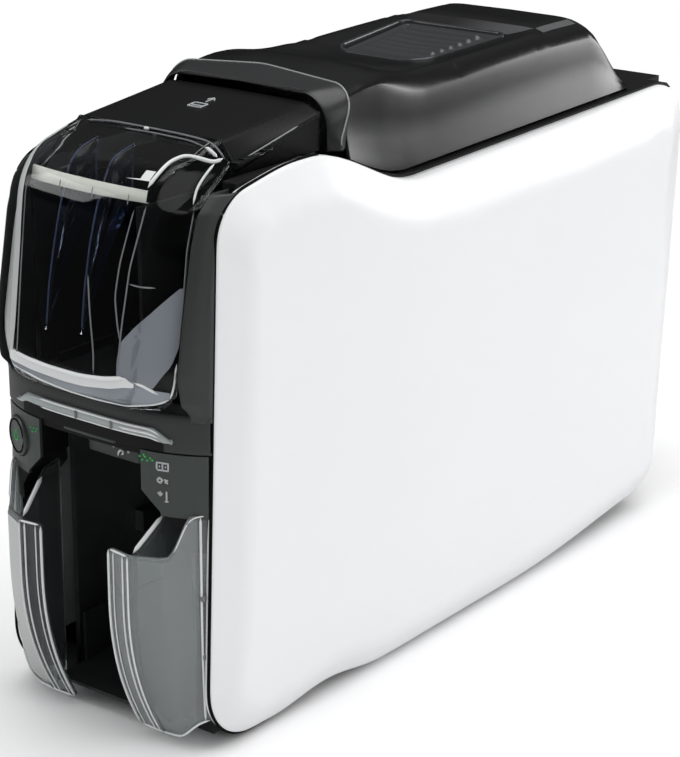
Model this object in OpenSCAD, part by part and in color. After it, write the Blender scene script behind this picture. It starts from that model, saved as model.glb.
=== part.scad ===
// Desktop card printer with a smoked card hopper door, a hinged top cover and a
// clear output hopper.  X is the width, -Y is the front, Z is up, in millimetres.
// The origin is the middle of the foot print, on the surface it stands on.

/* [Case] */
// Widest distance over the two side panels
case_w = 137; // [130:1:150]
// Length of the side panels, front edge to rear edge
case_d = 381; // [375:1:400]
// Height of the side panels behind the dip
body_h = 226; // [225:1:236]
// How much the side panels rise again at the front
front_rise = 23; // [21:0.5:25]
// How much they rise towards the rear
rear_rise = 6.5; // [4:0.5:9]
// Height of the top cover's rear hump above the dip
lid_h = 46; // [44:0.5:50]
// How far the hopper door stands ahead of the side panels
front_reach = 23; // [20:0.5:26]
// Height of the side panels' lower edge over the floor
panel_gap = 2.5; // [2:0.25:4]
// Wall of the moulded covers
wall = 2.4; // [1.8:0.1:3]
// Wall of the clear mouldings
clear_t = 2.2; // [1.6:0.1:2.6]
// Depth of the side panels' bevel
bevel_x = 6.5; // [4:0.5:8]
// Width of the side panels' bevel along the edges
bevel_w = 17; // [12:1:20]

/* [Cards] */
// Card width
card_w = 54; // [54:0.1:54.4]
// Card length
card_l = 85.6; // [85.4:0.1:86]
// Play round the cards in both hoppers
card_play = 1; // [0.6:0.1:1.6]
// Height of the printing path over the floor
path_z = 152; // [148:0.5:154]
// Drop from the hopper floor to the path
feed_step = 4; // [3:0.5:5]

/* [Hopper door] */
// Half width of the door's front face
door_flat = 35; // [32:0.5:37]
// Gap between the door's rear edges and the side panels' rims
door_inset = 5; // [4.5:0.5:7]
// Lean of the front face from bottom to top
door_lean = 12; // [8:0.5:15]
// Radius where the front rolls over into the top
door_roll = 24; // [16:1:28]
// Play between the door and the pieces round it
door_play = 0.8; // [0.6:0.1:1.2]
// Half width of the flat top of the hopper cover
cover_top_half = 38; // [34:0.5:40]

/* [Controls] */
// Radius of the power button
button_r = 9; // [6:0.5:9.5]
// Travel of the power button
button_travel = 1.5; // [1:0.1:2]
// Height of the control panels
control_h = 28; // [26:0.5:30]
// Half width of the card exit at the control panels
exit_half = 29; // [28.5:0.5:31]
// Half length of the light bar
light_half = 44; // [38:0.5:46]
// Height of the light bar
light_h = 5; // [4:0.25:6]

/* [Output hopper] */
// Height of the clear wings
wing_h = 93; // [86:1:96]
// Depth of the wings ahead of the case front
wing_reach = 21; // [18:0.5:22]
// Width of the wings' front flange
wing_flange = 13; // [9:0.5:14]

/* [Top cover] */
// Half width of the top cover at its lower edge
lid_half = 52; // [50:0.5:53]
// Radius of the hinge pins
hinge_r = 2; // [1.5:0.1:2.4]
// Length of the latch button
latch_l = 61; // [54:1:64]
// Half width of the latch button at its rear
latch_half = 29; // [26:0.5:31]
// Travel of the latch button
latch_travel = 3; // [2:0.1:3.4]

/* [Drive] */
// Radius of the roller shafts
shaft_r = 3; // [2.5:0.1:3.2]
// Radius of the feed rollers
feed_r = 7.5; // [6.8:0.1:7.8]
// Radius of the platen roller
platen_r = 7.5; // [7:0.1:8.2]
// Radius of the pick rollers
pick_r = 9; // [8.5:0.1:9.5]
// Radius of the pinch rollers
pinch_r = 5; // [4.5:0.1:5.4]
// Radius of the cleaning roller
clean_r = 7; // [6:0.1:7.5]
// Gear module
gear_m = 1; // [0.9:0.05:1.05]
// Radius of the belt pulleys
pulley_r = 8; // [7:0.1:8.5]
// Thickness of the belts
belt_t = 1.4; // [1:0.1:1.8]
// Distance between the inner frames
frame_gap = 76; // [74:0.5:78]
// Thickness of the inner frames
frame_t = 2.5; // [2:0.1:3]
// Radius of the full ribbon roll
supply_r = 17; // [14:0.5:18]
// Radius of the used ribbon roll
takeup_r = 12; // [10:0.5:14]

/* [Hidden] */
$fn = 48;

// Radial clearance of a shaft in its bore
run = 0.05;
// Thickness of a card
card_t = 0.8;

// Overall places
total_d = case_d + front_reach;
door_y = -total_d / 2;
front_y = door_y + front_reach;
rear_y = front_y + case_d;
side_x = case_w / 2;
panel_in = side_x - 13.5;
frame_x = frame_gap / 2;
frame_out = frame_x + frame_t;
hop_half = card_w / 2 + card_play;
door_half = panel_in - door_inset;

// Side panel profile
front_top = body_h + front_rise;
bay_top = front_top - 3.5;
front_fall = 7;
shoulder_y = front_y + 63;
dip_y = front_y + 143;
front_corner = 18;
rear_corner = 26;
foot_corner = 28;
front_lean = 0.04;

// Hopper bay
hop_floor = path_z + feed_step;
hop_y0 = front_y - 7;
hop_y1 = hop_y0 + card_l + 2 * card_play;
hop_wall_h = 82;
cover_hinge = [hop_y1 + 5.5, bay_top + 2.5];
cover_front = front_y + 32;
cover_rear = front_y + 89;
cover_z = bay_top + 14;
cover_climb = 6;
door_z = path_z + 5;

// Bay-shaped front: its back line, depth and half width
bay_back = front_y + 1.5;
bay_depth = 12;
bay_power = 3.6;
bay_half = panel_in + 2.5;
seam_z = path_z - 15.5;

// Axes, as [y, z]
pick_at = [front_y + 57, hop_floor + 0.4 - pick_r];
front_at = [front_y + 103, path_z - feed_r];
platen_at = [front_y + 169, path_z - platen_r];
rear_at = [front_y + 225, path_z - feed_r];
front_pinch_at = [front_at.x, path_z + card_t + 0.1 + pinch_r];
rear_pinch_at = [rear_at.x, path_z + card_t + 0.1 + pinch_r];
clean_at = [front_y + 131, path_z + card_t + 0.4 + clean_r];
takeup_at = [front_y + 119, path_z + 50];
supply_at = [front_y + 229, path_z + 50];
teeth_pinion = 15;
teeth_idler = 60;
teeth_platen = 30;
idler_at = platen_at - [0, gear_m * (teeth_idler + teeth_platen) / 2];
motor_at = idler_at + [gear_m * (teeth_idler + teeth_pinion) / 2, 0];
gear_x = frame_out + 1.5;
gear_w = 5;
belt_x = frame_out + 1.5;
belt_w = 4;
belt_step = belt_w + 1;

// Top cover
lid_front = front_y + 101;
lid_rear = rear_y - 46;
lid_edge = 2.5;
hinge_at = [lid_rear + 2, body_h + rear_rise + 4];
hinge_x = 24;
lug_w = 6;
lug_r = 5;
lid_top = body_h + lid_h;
latch_y = front_y + 192;
latch_z = lid_top - 8.5;
latch_slope = 4.5;
latch_floor = lid_top - 19 - latch_travel;
hook_at = [latch_y + 17, lid_top - 29];
striker_at = [hook_at.x + 7.2, hook_at.y - 24];
hook_x = frame_x - 5.5;
hook_w = 3;
stem_y = latch_y + latch_l / 2;
stem_r = 3.5;

// Rear sockets
socket_z = 40;
board_y = rear_y - 44;

// ---- outline helpers ----
function unit(v) = v / norm(v);
function mix(a, b, t) = a + (b - a) * t;
function clamp01(t) = min(1, max(0, t));
function smooth(t) = let (c = clamp01(t)) c * c * (3 - 2 * c);
function arc(c, r, a0, a1, n) = [for (i = [0 : n]) let (a = mix(a0, a1, i / n)) c + r * [cos(a), sin(a)]];
function swing(a) = a > 180 ? a - 360 : (a < -180 ? a + 360 : a);
// Corner b of a path, rounded to its third value
function corner(a, b, c, n) =
    let (p = [b[0], b[1]])
    b[2] == 0 ? [p] :
    let (u = unit([a[0], a[1]] - p), v = unit([c[0], c[1]] - p))
    let (half = acos(u * v) / 2, reach = b[2] / tan(half))
    let (m = p + unit(u + v) * b[2] / sin(half))
    let (s = p + u * reach - m, e = p + v * reach - m)
    let (a0 = atan2(s.y, s.x), turn = swing(atan2(e.y, e.x) - a0))
    arc(m, b[2], a0, a0 + turn, n);
// Closed outline from [x, y, radius] corners
function rounded(p, n = 6) =
    [for (i = [0 : len(p) - 1]) each corner(p[(i + len(p) - 1) % len(p)], p[i], p[(i + 1) % len(p)], n)];
// Open path from [x, y, radius] corners
function open_path(p, n = 6) =
    [for (i = [0 : len(p) - 1])
        each (i == 0 || i == len(p) - 1 ? [[p[i][0], p[i][1]]] : corner(p[i - 1], p[i], p[i + 1], n))];
// Loop of a belt round two pulleys
function belt_loop(a, ra, b, rb, n = 16) =
    let (d = b - a, at = atan2(d.y, d.x), f = acos((ra - rb) / norm(d)))
    concat(arc(a, ra, at + f, at + 360 - f, n), arc(b, rb, at - f, at + f, n));
// Point where a line from p touches a circle, on the side given by s
function touch(p, c, r, s) =
    let (d = p - c, a = atan2(d.y, d.x) + s * acos(r / norm(d))) c + r * [cos(a), sin(a)];

module along_x(x0, x1) {
    translate([x0, 0, 0]) rotate([90, 0, 90]) linear_extrude(x1 - x0) children();
}
module along_y(y0, y1) {
    translate([0, y1, 0]) rotate([90, 0, 0]) linear_extrude(y1 - y0) children();
}
module rod(at, r, x0, x1) {
    translate([x0, at.x, at.y]) rotate([0, 90, 0]) cylinder(r = r, h = x1 - x0);
}
module block(a, b) {
    translate(a) cube(b - a);
}
module both_sides() {
    children();
    mirror([1, 0, 0]) children();
}
// Closed skin of two equal grids of points, outer and inner
module skin(outer, inner) {
    m = len(outer);
    n = len(outer[0]);
    k = m * n;
    function id(i, j) = i * n + j;
    points = [for (g = [outer, inner]) for (row = g) each row];
    outside = [for (i = [0 : m - 2]) for (j = [0 : n - 2])
        each [[id(i, j), id(i + 1, j), id(i + 1, j + 1)], [id(i, j), id(i + 1, j + 1), id(i, j + 1)]]];
    inside = [for (f = outside) [k + f[0], k + f[2], k + f[1]]];
    ends = [for (j = [0 : n - 2]) each concat(
        wall_faces(id(0, j), id(0, j + 1), k), wall_faces(id(m - 1, j + 1), id(m - 1, j), k))];
    sides = [for (i = [0 : m - 2]) each concat(
        wall_faces(id(i + 1, 0), id(i, 0), k), wall_faces(id(i, n - 1), id(i + 1, n - 1), k))];
    polyhedron(points, concat(outside, inside, ends, sides), convexity = 8);
}
function wall_faces(a, b, k) = [[a, b, b + k], [a, b + k, a + k]];

// Solid of equal closed plan loops at the given levels; cap lists the end faces
module stack(rows, levels, cap = []) {
    m = len(rows);
    n = len(rows[0]);
    points = [for (k = [0 : m - 1]) for (p = rows[k]) [p.x, p.y, len(p) > 2 ? p[2] : levels[k]]];
    bands = [for (k = [0 : m - 2]) for (i = [0 : n - 1])
        let (j = (i + 1) % n, a = k * n, b = a + n) each [[a + i, b + j, a + j], [a + i, b + i, b + j]]];
    low = len(cap) > 0 ? cap : [[for (i = [0 : n - 1]) i]];
    high = [for (f = low) [for (i = [len(f) - 1 : -1 : 0]) m * n - n + f[i]]];
    polyhedron(points, concat(bands, low, high), convexity = 6);
}

// ---- side panels ----
function panel_top(y) =
    front_top - front_rise * smooth((y - shoulder_y) / (dip_y - shoulder_y))
    - front_fall * smooth((front_y + 55 - y) / 60)
    + rear_rise * clamp01((y - dip_y) / (rear_y - dip_y));
function bump(t) = t < 0 || t > 1 ? 0 : (1 - cos(360 * t)) / 2;
function panel_low(y) =
    panel_gap + 4 * bump((y - front_y - 40) / 75) + 7 * smooth((y - front_y - 220) / (case_d - 230));
function panel_x(y) = side_x - 4.5 * smooth((front_y + 140 - y) / 150) - 4 * smooth((y - front_y - 240) / 160);
panel_steps = concat(
    [for (a = [0 : 15 : 90]) front_y + front_corner * (1 - cos(a))],
    [front_y + 28, front_y + 40, front_y + 52],
    [for (t = [0 : 0.125 : 1]) mix(shoulder_y, dip_y, t)],
    [front_y + 165, front_y + 200, front_y + 240, front_y + 290, front_y + 335],
    [for (a = [90 : -15 : 0]) rear_y - rear_corner * (1 - cos(a))]);
// Loop k of the panel: 0 inner rim, 1 edge, 2 crease; t is the inset of the inner face
function panel_point(y, top, k, t) =
    let (inset = k == 2 ? bevel_w : 0)
    let (f = clamp01((front_y + front_corner - y) / front_corner))
    let (b = clamp01((y - rear_y + rear_corner) / rear_corner))
    let (fl = clamp01((front_y + foot_corner - y) / foot_corner))
    let (drop = front_corner * (1 - sqrt(1 - f * f)) + rear_corner * (1 - sqrt(1 - b * b)))
    let (lift = foot_corner * (1 - sqrt(1 - fl * fl)) + 14 * (1 - sqrt(1 - b * b)))
    let (rear_inset = inset * (y > dip_y ? 1.35 : 1))
    let (z = top ? panel_top(y) - drop * 0.999 - rear_inset - t : panel_low(y) + lift + inset * 0.5 + t)
    let (w = clamp01((front_y + 120 - y) / 120), wr = clamp01((y - rear_y + 60) / 60))
    let (low = clamp01((110 - z) / 100))
    let (yy = y + front_lean * (z - 60) * w - 15 * low * low * wr)
    let (u = (yy - front_y) / case_d)
    let (yi = yy + (inset + t) * (1 - 2 * clamp01(u)))
    let (x = k == 0 ? (t > 0 ? panel_in - 1 : panel_in) : (k == 1 ? panel_x(y) - bevel_x : panel_x(y)) - t)
    [x, yi, z];
module panel_block(t) {
    n = len(panel_steps);
    loop = 2 * n;
    points = [for (k = [0 : 2])
        each concat([for (y = panel_steps) panel_point(y, true, k, t)],
            [for (i = [n - 1 : -1 : 0]) panel_point(panel_steps[i], false, k, t)])];
    bands = [for (k = [0 : 1]) for (i = [0 : loop - 1])
        let (j = (i + 1) % loop, a = k * loop + i, b = k * loop + j)
        each [[a, b + loop, a + loop], [a, b, b + loop]]];
    near = [for (i = [0 : n - 2]) let (b = loop - 1 - i) each [[i, b - 1, i + 1], [i, b, b - 1]]];
    far = [for (f = near) [f[0] + 2 * loop, f[2] + 2 * loop, f[1] + 2 * loop]];
    polyhedron(points, concat(bands, near, far), convexity = 6);
}
module side_panel() {
    difference() {
        panel_block(0);
        panel_block(wall);
    }
    // screw posts that reach the inner frames
    for (p = [[front_y + 60, 60], [rear_y - 80, 60], [rear_y - 80, body_h - 48]])
        rod(p, 3.5, frame_out, panel_x(p.x) - wall + 0.2);
}
module right_side_panel() {
    color("white") side_panel();
}
module left_side_panel() {
    color("white") mirror([1, 0, 0]) side_panel();
}

// ---- base ----
pan_half = panel_in - 1;
pan_y0 = front_y + 14;
pan_y1 = rear_y - 24;
pan_z = 4;
pan_h = 14;
foot_spots = [for (x = [-1, 1]) for (y = [pan_y0 + 20, pan_y1 - 60]) [x * (pan_half - 12), y]];
// Side view of the pan, inset by t, up to z1: its rear end rises
function pan_side(t, z1) =
    [[pan_y0 + t, pan_z + t], [frame_y1 + 2, pan_z + t], [pan_y1 - t, pan_z + 9 + t],
        [pan_y1 - t, z1], [pan_y0 + t, z1]];
module base_pan() {
    color("dimgray") difference() {
        along_x(-pan_half, pan_half) polygon(pan_side(0, pan_z + pan_h));
        along_x(-pan_half + wall, pan_half - wall) polygon(pan_side(wall, pan_z + pan_h + 1));
        for (p = foot_spots) translate([p.x, p.y, pan_z - 1]) cylinder(r = 2, h = wall + 2);
        for (i = [0 : 7]) translate([-30, front_y + 190 + i * 9, pan_z - 1]) cube([60, 3.5, wall + 2]);
        // gap that the output tray passes through
        block([-tray_half - 0.3, pan_y0 - 1, pan_z + 4.2],
            [tray_half + 0.3, pan_y0 + wall + 1, pan_z + pan_h + 1]);
    }
}
module rubber_feet() {
    color("black") for (p = foot_spots) translate([p.x, p.y, 0]) {
        cylinder(r1 = 6.4, r2 = 7, h = 1.2);
        translate([0, 0, 1.2]) cylinder(r = 7, h = pan_z - 1.2);
        translate([0, 0, pan_z]) cylinder(r = 2, h = wall);
    }
}

// ---- bay-shaped front ----
function bay(x) = bay_back - bay_depth * (1 - pow(min(1, abs(x) / bay_half), bay_power));
function bay_slope(x) = atan(bay_depth * bay_power * pow(abs(x) / bay_half, bay_power - 1) / bay_half);
bay_xs = [for (i = [-12 : 12]) i / 12];
// Plan region between the bay curve, moved back by s, and a line
module bay_plan(s, half, y1) {
    polygon(concat([for (t = bay_xs) [t * half, bay(t * half) + s]], [[half, y1], [-half, y1]]));
}
module bay_block(s, z0, z1, half = bay_half, y1 = front_y + 19) {
    translate([0, 0, z0]) linear_extrude(z1 - z0) bay_plan(s, half, y1);
}
light_z = path_z - 10;
light_groove = 1.2;
light_proud = 1.4;
module light_outline(c) {
    half = light_half + c;
    polygon([[-half, -1], [-half + 11, light_h / 2 + c], [half - 11, light_h / 2 + c], [half, -1],
        [half - 1, -light_h / 2 - c], [-half + 1, -light_h / 2 - c]]);
}
bezel_lip = hop_floor - 2.8;
// Room of the side panels' front edges, which lean back
module panel_room(z0, z1) {
    both_sides() along_x(panel_in - 0.05, bay_half + 1)
        polygon([for (p = [[0, z0], [0, z1], [45, z1], [45, z0]])
            [front_y + front_lean * (p[1] - 60) - 0.1 + p[0], p[1]]]);
}
// Front line of the cheek beside the door, and of its outer edge, at height z
function cheek_front(z) =
    lookup(z, [[seam_z + 16, front_y - 5], [door_z + 3, front_y - 9], [door_z + 15, front_y - 11],
        [bay_top - 58, front_y - 8.5], [bay_top - 22, front_y - 1.5], [bay_top - 9, front_y + 3],
        [bay_top - 2, front_y + 11]]);
function cheek_edge(z) =
    lookup(z, [[seam_z + 16, front_y + 0.7], [bay_top - 58, front_y + 2], [bay_top - 40, front_y + 3],
        [bay_top - 22, front_y + 6], [bay_top - 9, front_y + 11], [bay_top - 2, front_y + 17]]);
cheek_levels = [seam_z + 16, door_z + 3, door_z + 15, bay_top - 58, bay_top - 40, bay_top - 22,
    bay_top - 15, bay_top - 9, bay_top - 5, bay_top - 2];
cheek_x = door_half + door_play;
module bezel_shell() {
    difference() {
        bay_block(0, seam_z, bay_top - 3);
        difference() {
            bay_block(wall, seam_z - 1, bay_top + 5, panel_in - 1.4, front_y + 20);
            block([-bay_half, front_y - 40, bezel_lip - 1.8], [bay_half, hop_y0 + 20, bezel_lip]);
        }
        block([-cheek_x, front_y - 40, bezel_lip], [cheek_x, front_y + 30, bay_top + 10]);
        // the upper part leans back with the side panels
        both_sides() along_x(cheek_x - 6, bay_half + 1)
            polygon(concat([for (z = cheek_levels) [cheek_edge(z) + 2, z]],
                [[front_y + 30, bay_top], [front_y - 40, bay_top], [front_y - 40, seam_z + 16]]));
    }
    both_sides() stack([for (z = cheek_levels) [[cheek_x, cheek_front(z)], [bay_half - 0.1, cheek_edge(z)],
        [bay_half - 0.1, cheek_edge(z) + 6], [cheek_x, cheek_edge(z) + 6]]], cheek_levels);
}
module front_bezel() {
    color("darkslategray") difference() {
        bezel_shell();
        panel_room(seam_z - 1, bay_top);
        // groove of the light bar
        intersection() {
            bay_block(-1, light_z - light_h, light_z + light_h);
            along_y(front_y - 30, bay_back) translate([0, light_z]) light_outline(0.2);
            difference() {
                bay_block(-2, light_z - light_h, light_z + light_h);
                bay_block(light_groove, light_z - light_h - 1, light_z + light_h + 1);
            }
        }
    }
}
module light_bar() {
    color("gainsboro") difference() {
        intersection() {
            bay_block(-light_proud, light_z - light_h, light_z + light_h);
            along_y(front_y - 30, bay_back) translate([0, light_z]) light_outline(0);
        }
        bay_block(light_groove, light_z - light_h - 1, light_z + light_h + 1);
    }
}
control_z = seam_z - control_h;
plate_t = 1.6;
// Front view of one control panel
module control_outline(c) {
    polygon([[exit_half - c, seam_z - 0.4], [exit_half - c, control_z + 10], [exit_half + 9, control_z + 1.5],
        [exit_half + 9, control_z], [bay_half - 1, control_z], [bay_half - 1, seam_z - 0.4]]);
}
button_x = bay_half - 11.5;
button_z = control_z + control_h / 2 + 1;
module at_button(deep) {
    translate([-button_x, bay(button_x), button_z]) rotate([90, 0, -bay_slope(button_x)])
        translate([0, 0, -deep]) children();
}
module control_panel() {
    intersection() {
        difference() {
            bay_block(0, control_z - 1, seam_z);
            bay_block(plate_t, control_z - 2, seam_z + 1);
        }
        along_y(front_y - 30, bay_back) control_outline(0);
    }
}
module left_control_panel() {
    color("dimgray") difference() {
        mirror([1, 0, 0]) control_panel();
        at_button(8) cylinder(r = button_r + 0.3, h = 16);
    }
}
module right_control_panel() {
    color("dimgray") control_panel();
}
module power_button() {
    color("dimgray") at_button(2.2) {
        cylinder(r = button_r, h = 2.8);
        translate([0, 0, 2.8]) cylinder(r1 = button_r, r2 = button_r - 0.6, h = 0.5);
        translate([0, 0, -1.6]) cylinder(r = 2.5, h = 1.6);
    }
}
module exit_tab() {
    color("gray") intersection() {
        difference() {
            bay_block(0, seam_z - 9, seam_z);
            bay_block(plate_t, seam_z - 10, seam_z + 1);
        }
        along_y(front_y - 30, bay_back) polygon([[-13, seam_z], [-12, seam_z - 9], [12, seam_z - 9], [13, seam_z]]);
    }
}
module lower_front_frame() {
    color("dimgray") difference() {
        bay_block(plate_t, pan_z + 4, seam_z);
        // the card exit and the output hopper behind the wings
        along_y(front_y - 30, front_y + 30)
            polygon([[-exit_half, seam_z - 3], [-exit_half, control_z + 10], [-exit_half - 9, control_z + 1.5],
                [-panel_in + 9, control_z - 8], [-panel_in + 9, pan_z + 3], [panel_in - 9, pan_z + 3],
                [panel_in - 9, control_z - 8], [exit_half + 9, control_z + 1.5], [exit_half, control_z + 10],
                [exit_half, seam_z - 3]]);
        block([-exit_half, front_y - 14, control_z], [exit_half, front_y + 30, seam_z - 3]);
        // the wings end against set-back posts
        both_sides() block([panel_in - 9.1, front_y - 20, pan_z], [bay_half, post_y, wing_h + 0.3]);
        panel_room(pan_z, seam_z + 1);
        // pocket behind the button
        at_button(5.5 + button_travel) cylinder(r = button_r + 0.6, h = 12);
        // the tray and the frames pass behind
        block([-frame_out - 0.5, front_y + 8, pan_z], [frame_out + 0.5, front_y + 30, seam_z + 1]);
        block([-pan_half - 0.2, pan_y0 - 0.2, pan_z - 1], [pan_half + 0.2, front_y + 30, pan_z + pan_h + 0.2]);
    }
}

// ---- output hopper ----
wing_front = front_y - wing_reach;
wing_corner = [exit_half + 4, wing_front];
wing_low = 5;
wing_back = [panel_in - 0.3, bay(panel_in - 0.3) + plate_t - 0.1];
post_y = wing_back.y + clear_t * 1.4 + 0.05;
wing_inner = [exit_half + 8, front_y + 12];
// Plan loop of a wing: inner wall, front flange and outer wall
function wing_plan(t) =
    let (tip = wing_corner - [wing_flange, -1])
    [wing_back + [0, t * 1.4], wing_corner + [0.9, t + 0.4], wing_inner, wing_inner - [t, 0],
        wing_corner + [-1.4, t], tip + [0, t], tip, wing_corner, wing_back];
wing_cap = [[0, 1, 7, 8], [1, 2, 3, 4], [1, 4, 7], [4, 5, 6, 7]];
function wing_sweep(z) = 19 * pow(clamp01((72 - z) / 68), 2.2);
wing_levels = [wing_low, 10, 18, 28, 40, 55, 72, wing_h];
module wing() {
    plan = wing_plan(clear_t);
    reach = wing_back.y - wing_corner.y;
    rise = control_z + 1 - wing_h;
    last = len(wing_levels) - 1;
    // the inner wall climbs towards the case
    stack([for (k = [0 : last]) [for (i = [0 : 8]) let (p = plan[i], z = wing_levels[k])
        [p.x, p.y + wing_sweep(z) * clamp01((wing_back.y - p.y) / reach),
            z + (k == last && (i == 2 || i == 3) ? rise : 0)]]], wing_levels, wing_cap);
}
module right_wing() {
    color("lightgray", 0.5) wing();
}
module left_wing() {
    color("lightgray", 0.5) mirror([1, 0, 0]) wing();
}
tray_back = hop_y1 - 10;
tray_half = frame_x - 4;
module output_tray() {
    color("dimgray") {
        // floor that falls towards the front, side ribs and the rear stop
        along_x(-tray_half, tray_half)
            polygon([[front_y + 1, pan_z + 6], [front_y + 14, pan_z + 6], [tray_back, pan_z + 12],
                [tray_back, seam_z - 10], [tray_back + 2.5, seam_z - 10], [tray_back + 2.5, pan_z + 4.5],
                [front_y + 16, pan_z + 4.5], [front_y + 1, pan_z + 4.5]]);
        both_sides() block([tray_half - 2, front_y + 18, pan_z + 4.5], [tray_half, tray_back + 2, 34]);
        both_sides() block([frame_x - 5, tray_back - 12, 60], [frame_x, tray_back + 2.5, 70]);
        both_sides() block([frame_x - 12, tray_back - 6, pan_z + wall], [frame_x - 8, tray_back, pan_z + 8]);
    }
}

// ---- inner frames ----
frame_y0 = front_y + 20;
frame_y1 = rear_y - 60;
frame_top = body_h - 4;
bar_spots = [[front_y + 79, 60], [rear_y - 80, 26], [rear_y - 80, body_h - 23], [front_y + 176, 40]];
module frame_plate() {
    difference() {
        union() {
            along_x(frame_x, frame_out)
                polygon([[frame_y0, pan_z + wall], [frame_y1, pan_z + wall], [frame_y1, frame_top],
                    [cover_hinge.x + 9, frame_top], [cover_hinge.x + 5, cover_hinge.y],
                    [cover_hinge.x, cover_hinge.y + 5], [cover_hinge.x - 5, cover_hinge.y],
                    [cover_hinge.x - 8, bay_top - 7], [frame_y0, bay_top - 7]]);
            // striker of the cover's latch
            rod(striker_at, 2, hook_x - 0.5, frame_x + 0.5);
        }
        for (a = [pick_at, front_at, platen_at, rear_at]) rod(a, shaft_r + run, frame_x - 1, frame_out + 1);
        for (a = [front_pinch_at, rear_pinch_at, clean_at]) rod(a, 2 + run, frame_x - 1, frame_out + 1);
        for (a = [takeup_at, supply_at]) rod(a, shaft_r + run, frame_x - 1, frame_out + 1);
        rod(cover_hinge, hinge_r + run, frame_x - 1, frame_out + 1);
        for (p = bar_spots) rod(p, 1.6, frame_x - 1, frame_out + 1);
    }
}
module left_frame() {
    color("silver") mirror([1, 0, 0]) frame_plate();
}
module right_frame() {
    color("silver") difference() {
        frame_plate();
        rod(motor_at, 11.1, frame_x - 1, frame_out + 1);
    }
    // fixed axle of the idler gear
    color("silver") rod(idler_at, shaft_r, frame_out, gear_x + gear_w + 2);
}
module cross_bars() {
    color("silver") for (p = bar_spots) rod(p, 4, -frame_x, frame_x);
}
module housing_screws() {
    color("gray") both_sides() for (p = bar_spots) {
        rod(p, 1.6, frame_x, frame_out);
        rod(p, 3, frame_out, frame_out + 1.3);
    }
}

// ---- card hopper and path ----
module card_hopper() {
    color("black") difference() {
        union() {
            block([-frame_x, hop_y0 + 12, hop_floor - 2.5], [frame_x, hop_y1 + 2, hop_floor]);
            block([-hop_half - 2, hop_y0, hop_floor - 2.5], [hop_half + 2, hop_y0 + 12, hop_floor]);
            both_sides() block([hop_half, hop_y0, hop_floor], [hop_half + 2, hop_y1, hop_floor + hop_wall_h]);
            block([-frame_x, hop_y1, hop_floor], [frame_x, hop_y1 + 2, hop_floor + hop_wall_h]);
        }
        // windows for the pick rollers, the card slot and a finger notch
        both_sides() block([6, pick_at.x - 9, hop_floor - 4], [24, pick_at.x + 9, hop_floor + 1]);
        block([-hop_half, hop_y1 - 1, hop_floor], [hop_half, hop_y1 + 3, hop_floor + 1.2]);
        block([-14, hop_y0 - 1, hop_floor - 4], [14, hop_y0 + 14, hop_floor + 1]);
    }
}
module card_weight() {
    color("dimgray") {
        block([-hop_half + 0.8, hop_y0 + 3, hop_floor + 1.4], [hop_half - 0.8, hop_y1 - 1.5, hop_floor + 5]);
        both_sides() block([hop_half - 6, hop_y0 + 6, hop_floor + 5], [hop_half - 4, hop_y1 - 8, hop_floor + 9]);
        block([-10, hop_y0 + 26, hop_floor + 5], [10, hop_y0 + 30, hop_floor + 14]);
    }
}
path_y0 = hop_y1 + 3;
path_y1 = path_y0 + 190;
module card_path() {
    color("darkslategray") difference() {
        union() {
            block([-frame_x, path_y0, path_z - 2.5], [frame_x, path_y1, path_z - 0.5]);
            both_sides() block([hop_half, path_y0, path_z - 0.5], [hop_half + 1.6, path_y1, path_z + 0.3]);
        }
        for (a = [front_at, rear_at]) both_sides()
            block([8, a.x - 8.5, path_z - 4], [24, a.x + 8.5, path_z + 2]);
        block([-32, platen_at.x - 9.5, path_z - 4], [32, platen_at.x + 9.5, path_z + 2]);
    }
}
module exit_chute() {
    color("darkslategray") along_x(-frame_x, frame_x)
        polygon([[tray_back + 4, seam_z - 9], [tray_back + 4, seam_z - 7], [front_at.x - 12, path_z - 8],
            [front_at.x - 12, path_z - 10]]);
}

// ---- top deck and rear ----
deck_x0 = panel_in - 7;
function deck_line(y) = min(panel_top(y), bay_top);
module deck_strip(y0, y1) {
    steps = [for (i = [0 : 24]) mix(y0, y1, i / 24)];
    polygon(concat([for (y = steps) [y, deck_line(y) + 1]],
        [for (i = [24 : -1 : 0]) [steps[i], deck_line(steps[i]) - 3]]));
}
module top_deck() {
    color("dimgray") difference() {
        union() {
            both_sides() along_x(deck_x0, panel_in) deck_strip(front_y + 22, rear_y - 20);
            along_x(-deck_x0, deck_x0) deck_strip(lid_rear - 2, rear_y - 8);
            both_sides() along_x(deck_x0 - 0.5, panel_in) polygon([[rear_y - 20.5, body_h + 2],
                [rear_y - 20.5, panel_top(rear_y - 20.5) + 1], [rear_y - 12, body_h + 5], [rear_y - 8, body_h + 2]]);
            both_sides() block([hinge_x, hinge_at.x - lug_r, hinge_at.y - 6],
                [hinge_x + lug_w, hinge_at.x + lug_r, hinge_at.y]);
            both_sides() rod(hinge_at, lug_r, hinge_x, hinge_x + lug_w);
            // brackets down to the inner frames
            both_sides() block([frame_out, frame_y1 - 20, frame_top - 12], [frame_out + 2, frame_y1, frame_top + 5]);
            both_sides() block([frame_out, frame_y1 - 20, body_h + 1], [deck_x0 + 1, frame_y1, body_h + 3.5]);
        }
        both_sides() rod(hinge_at, hinge_r + run, hinge_x - 1, hinge_x + lug_w + 1);
        both_sides() rod(hinge_at, lug_r + 1, hinge_x + lug_w, hinge_x + 2 * lug_w + 1);
    }
}
rear_half = panel_in - 1;
jack_x = -32;
usb_x = -10;
lan_x = 14;
plate_y = pan_y1;
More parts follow.
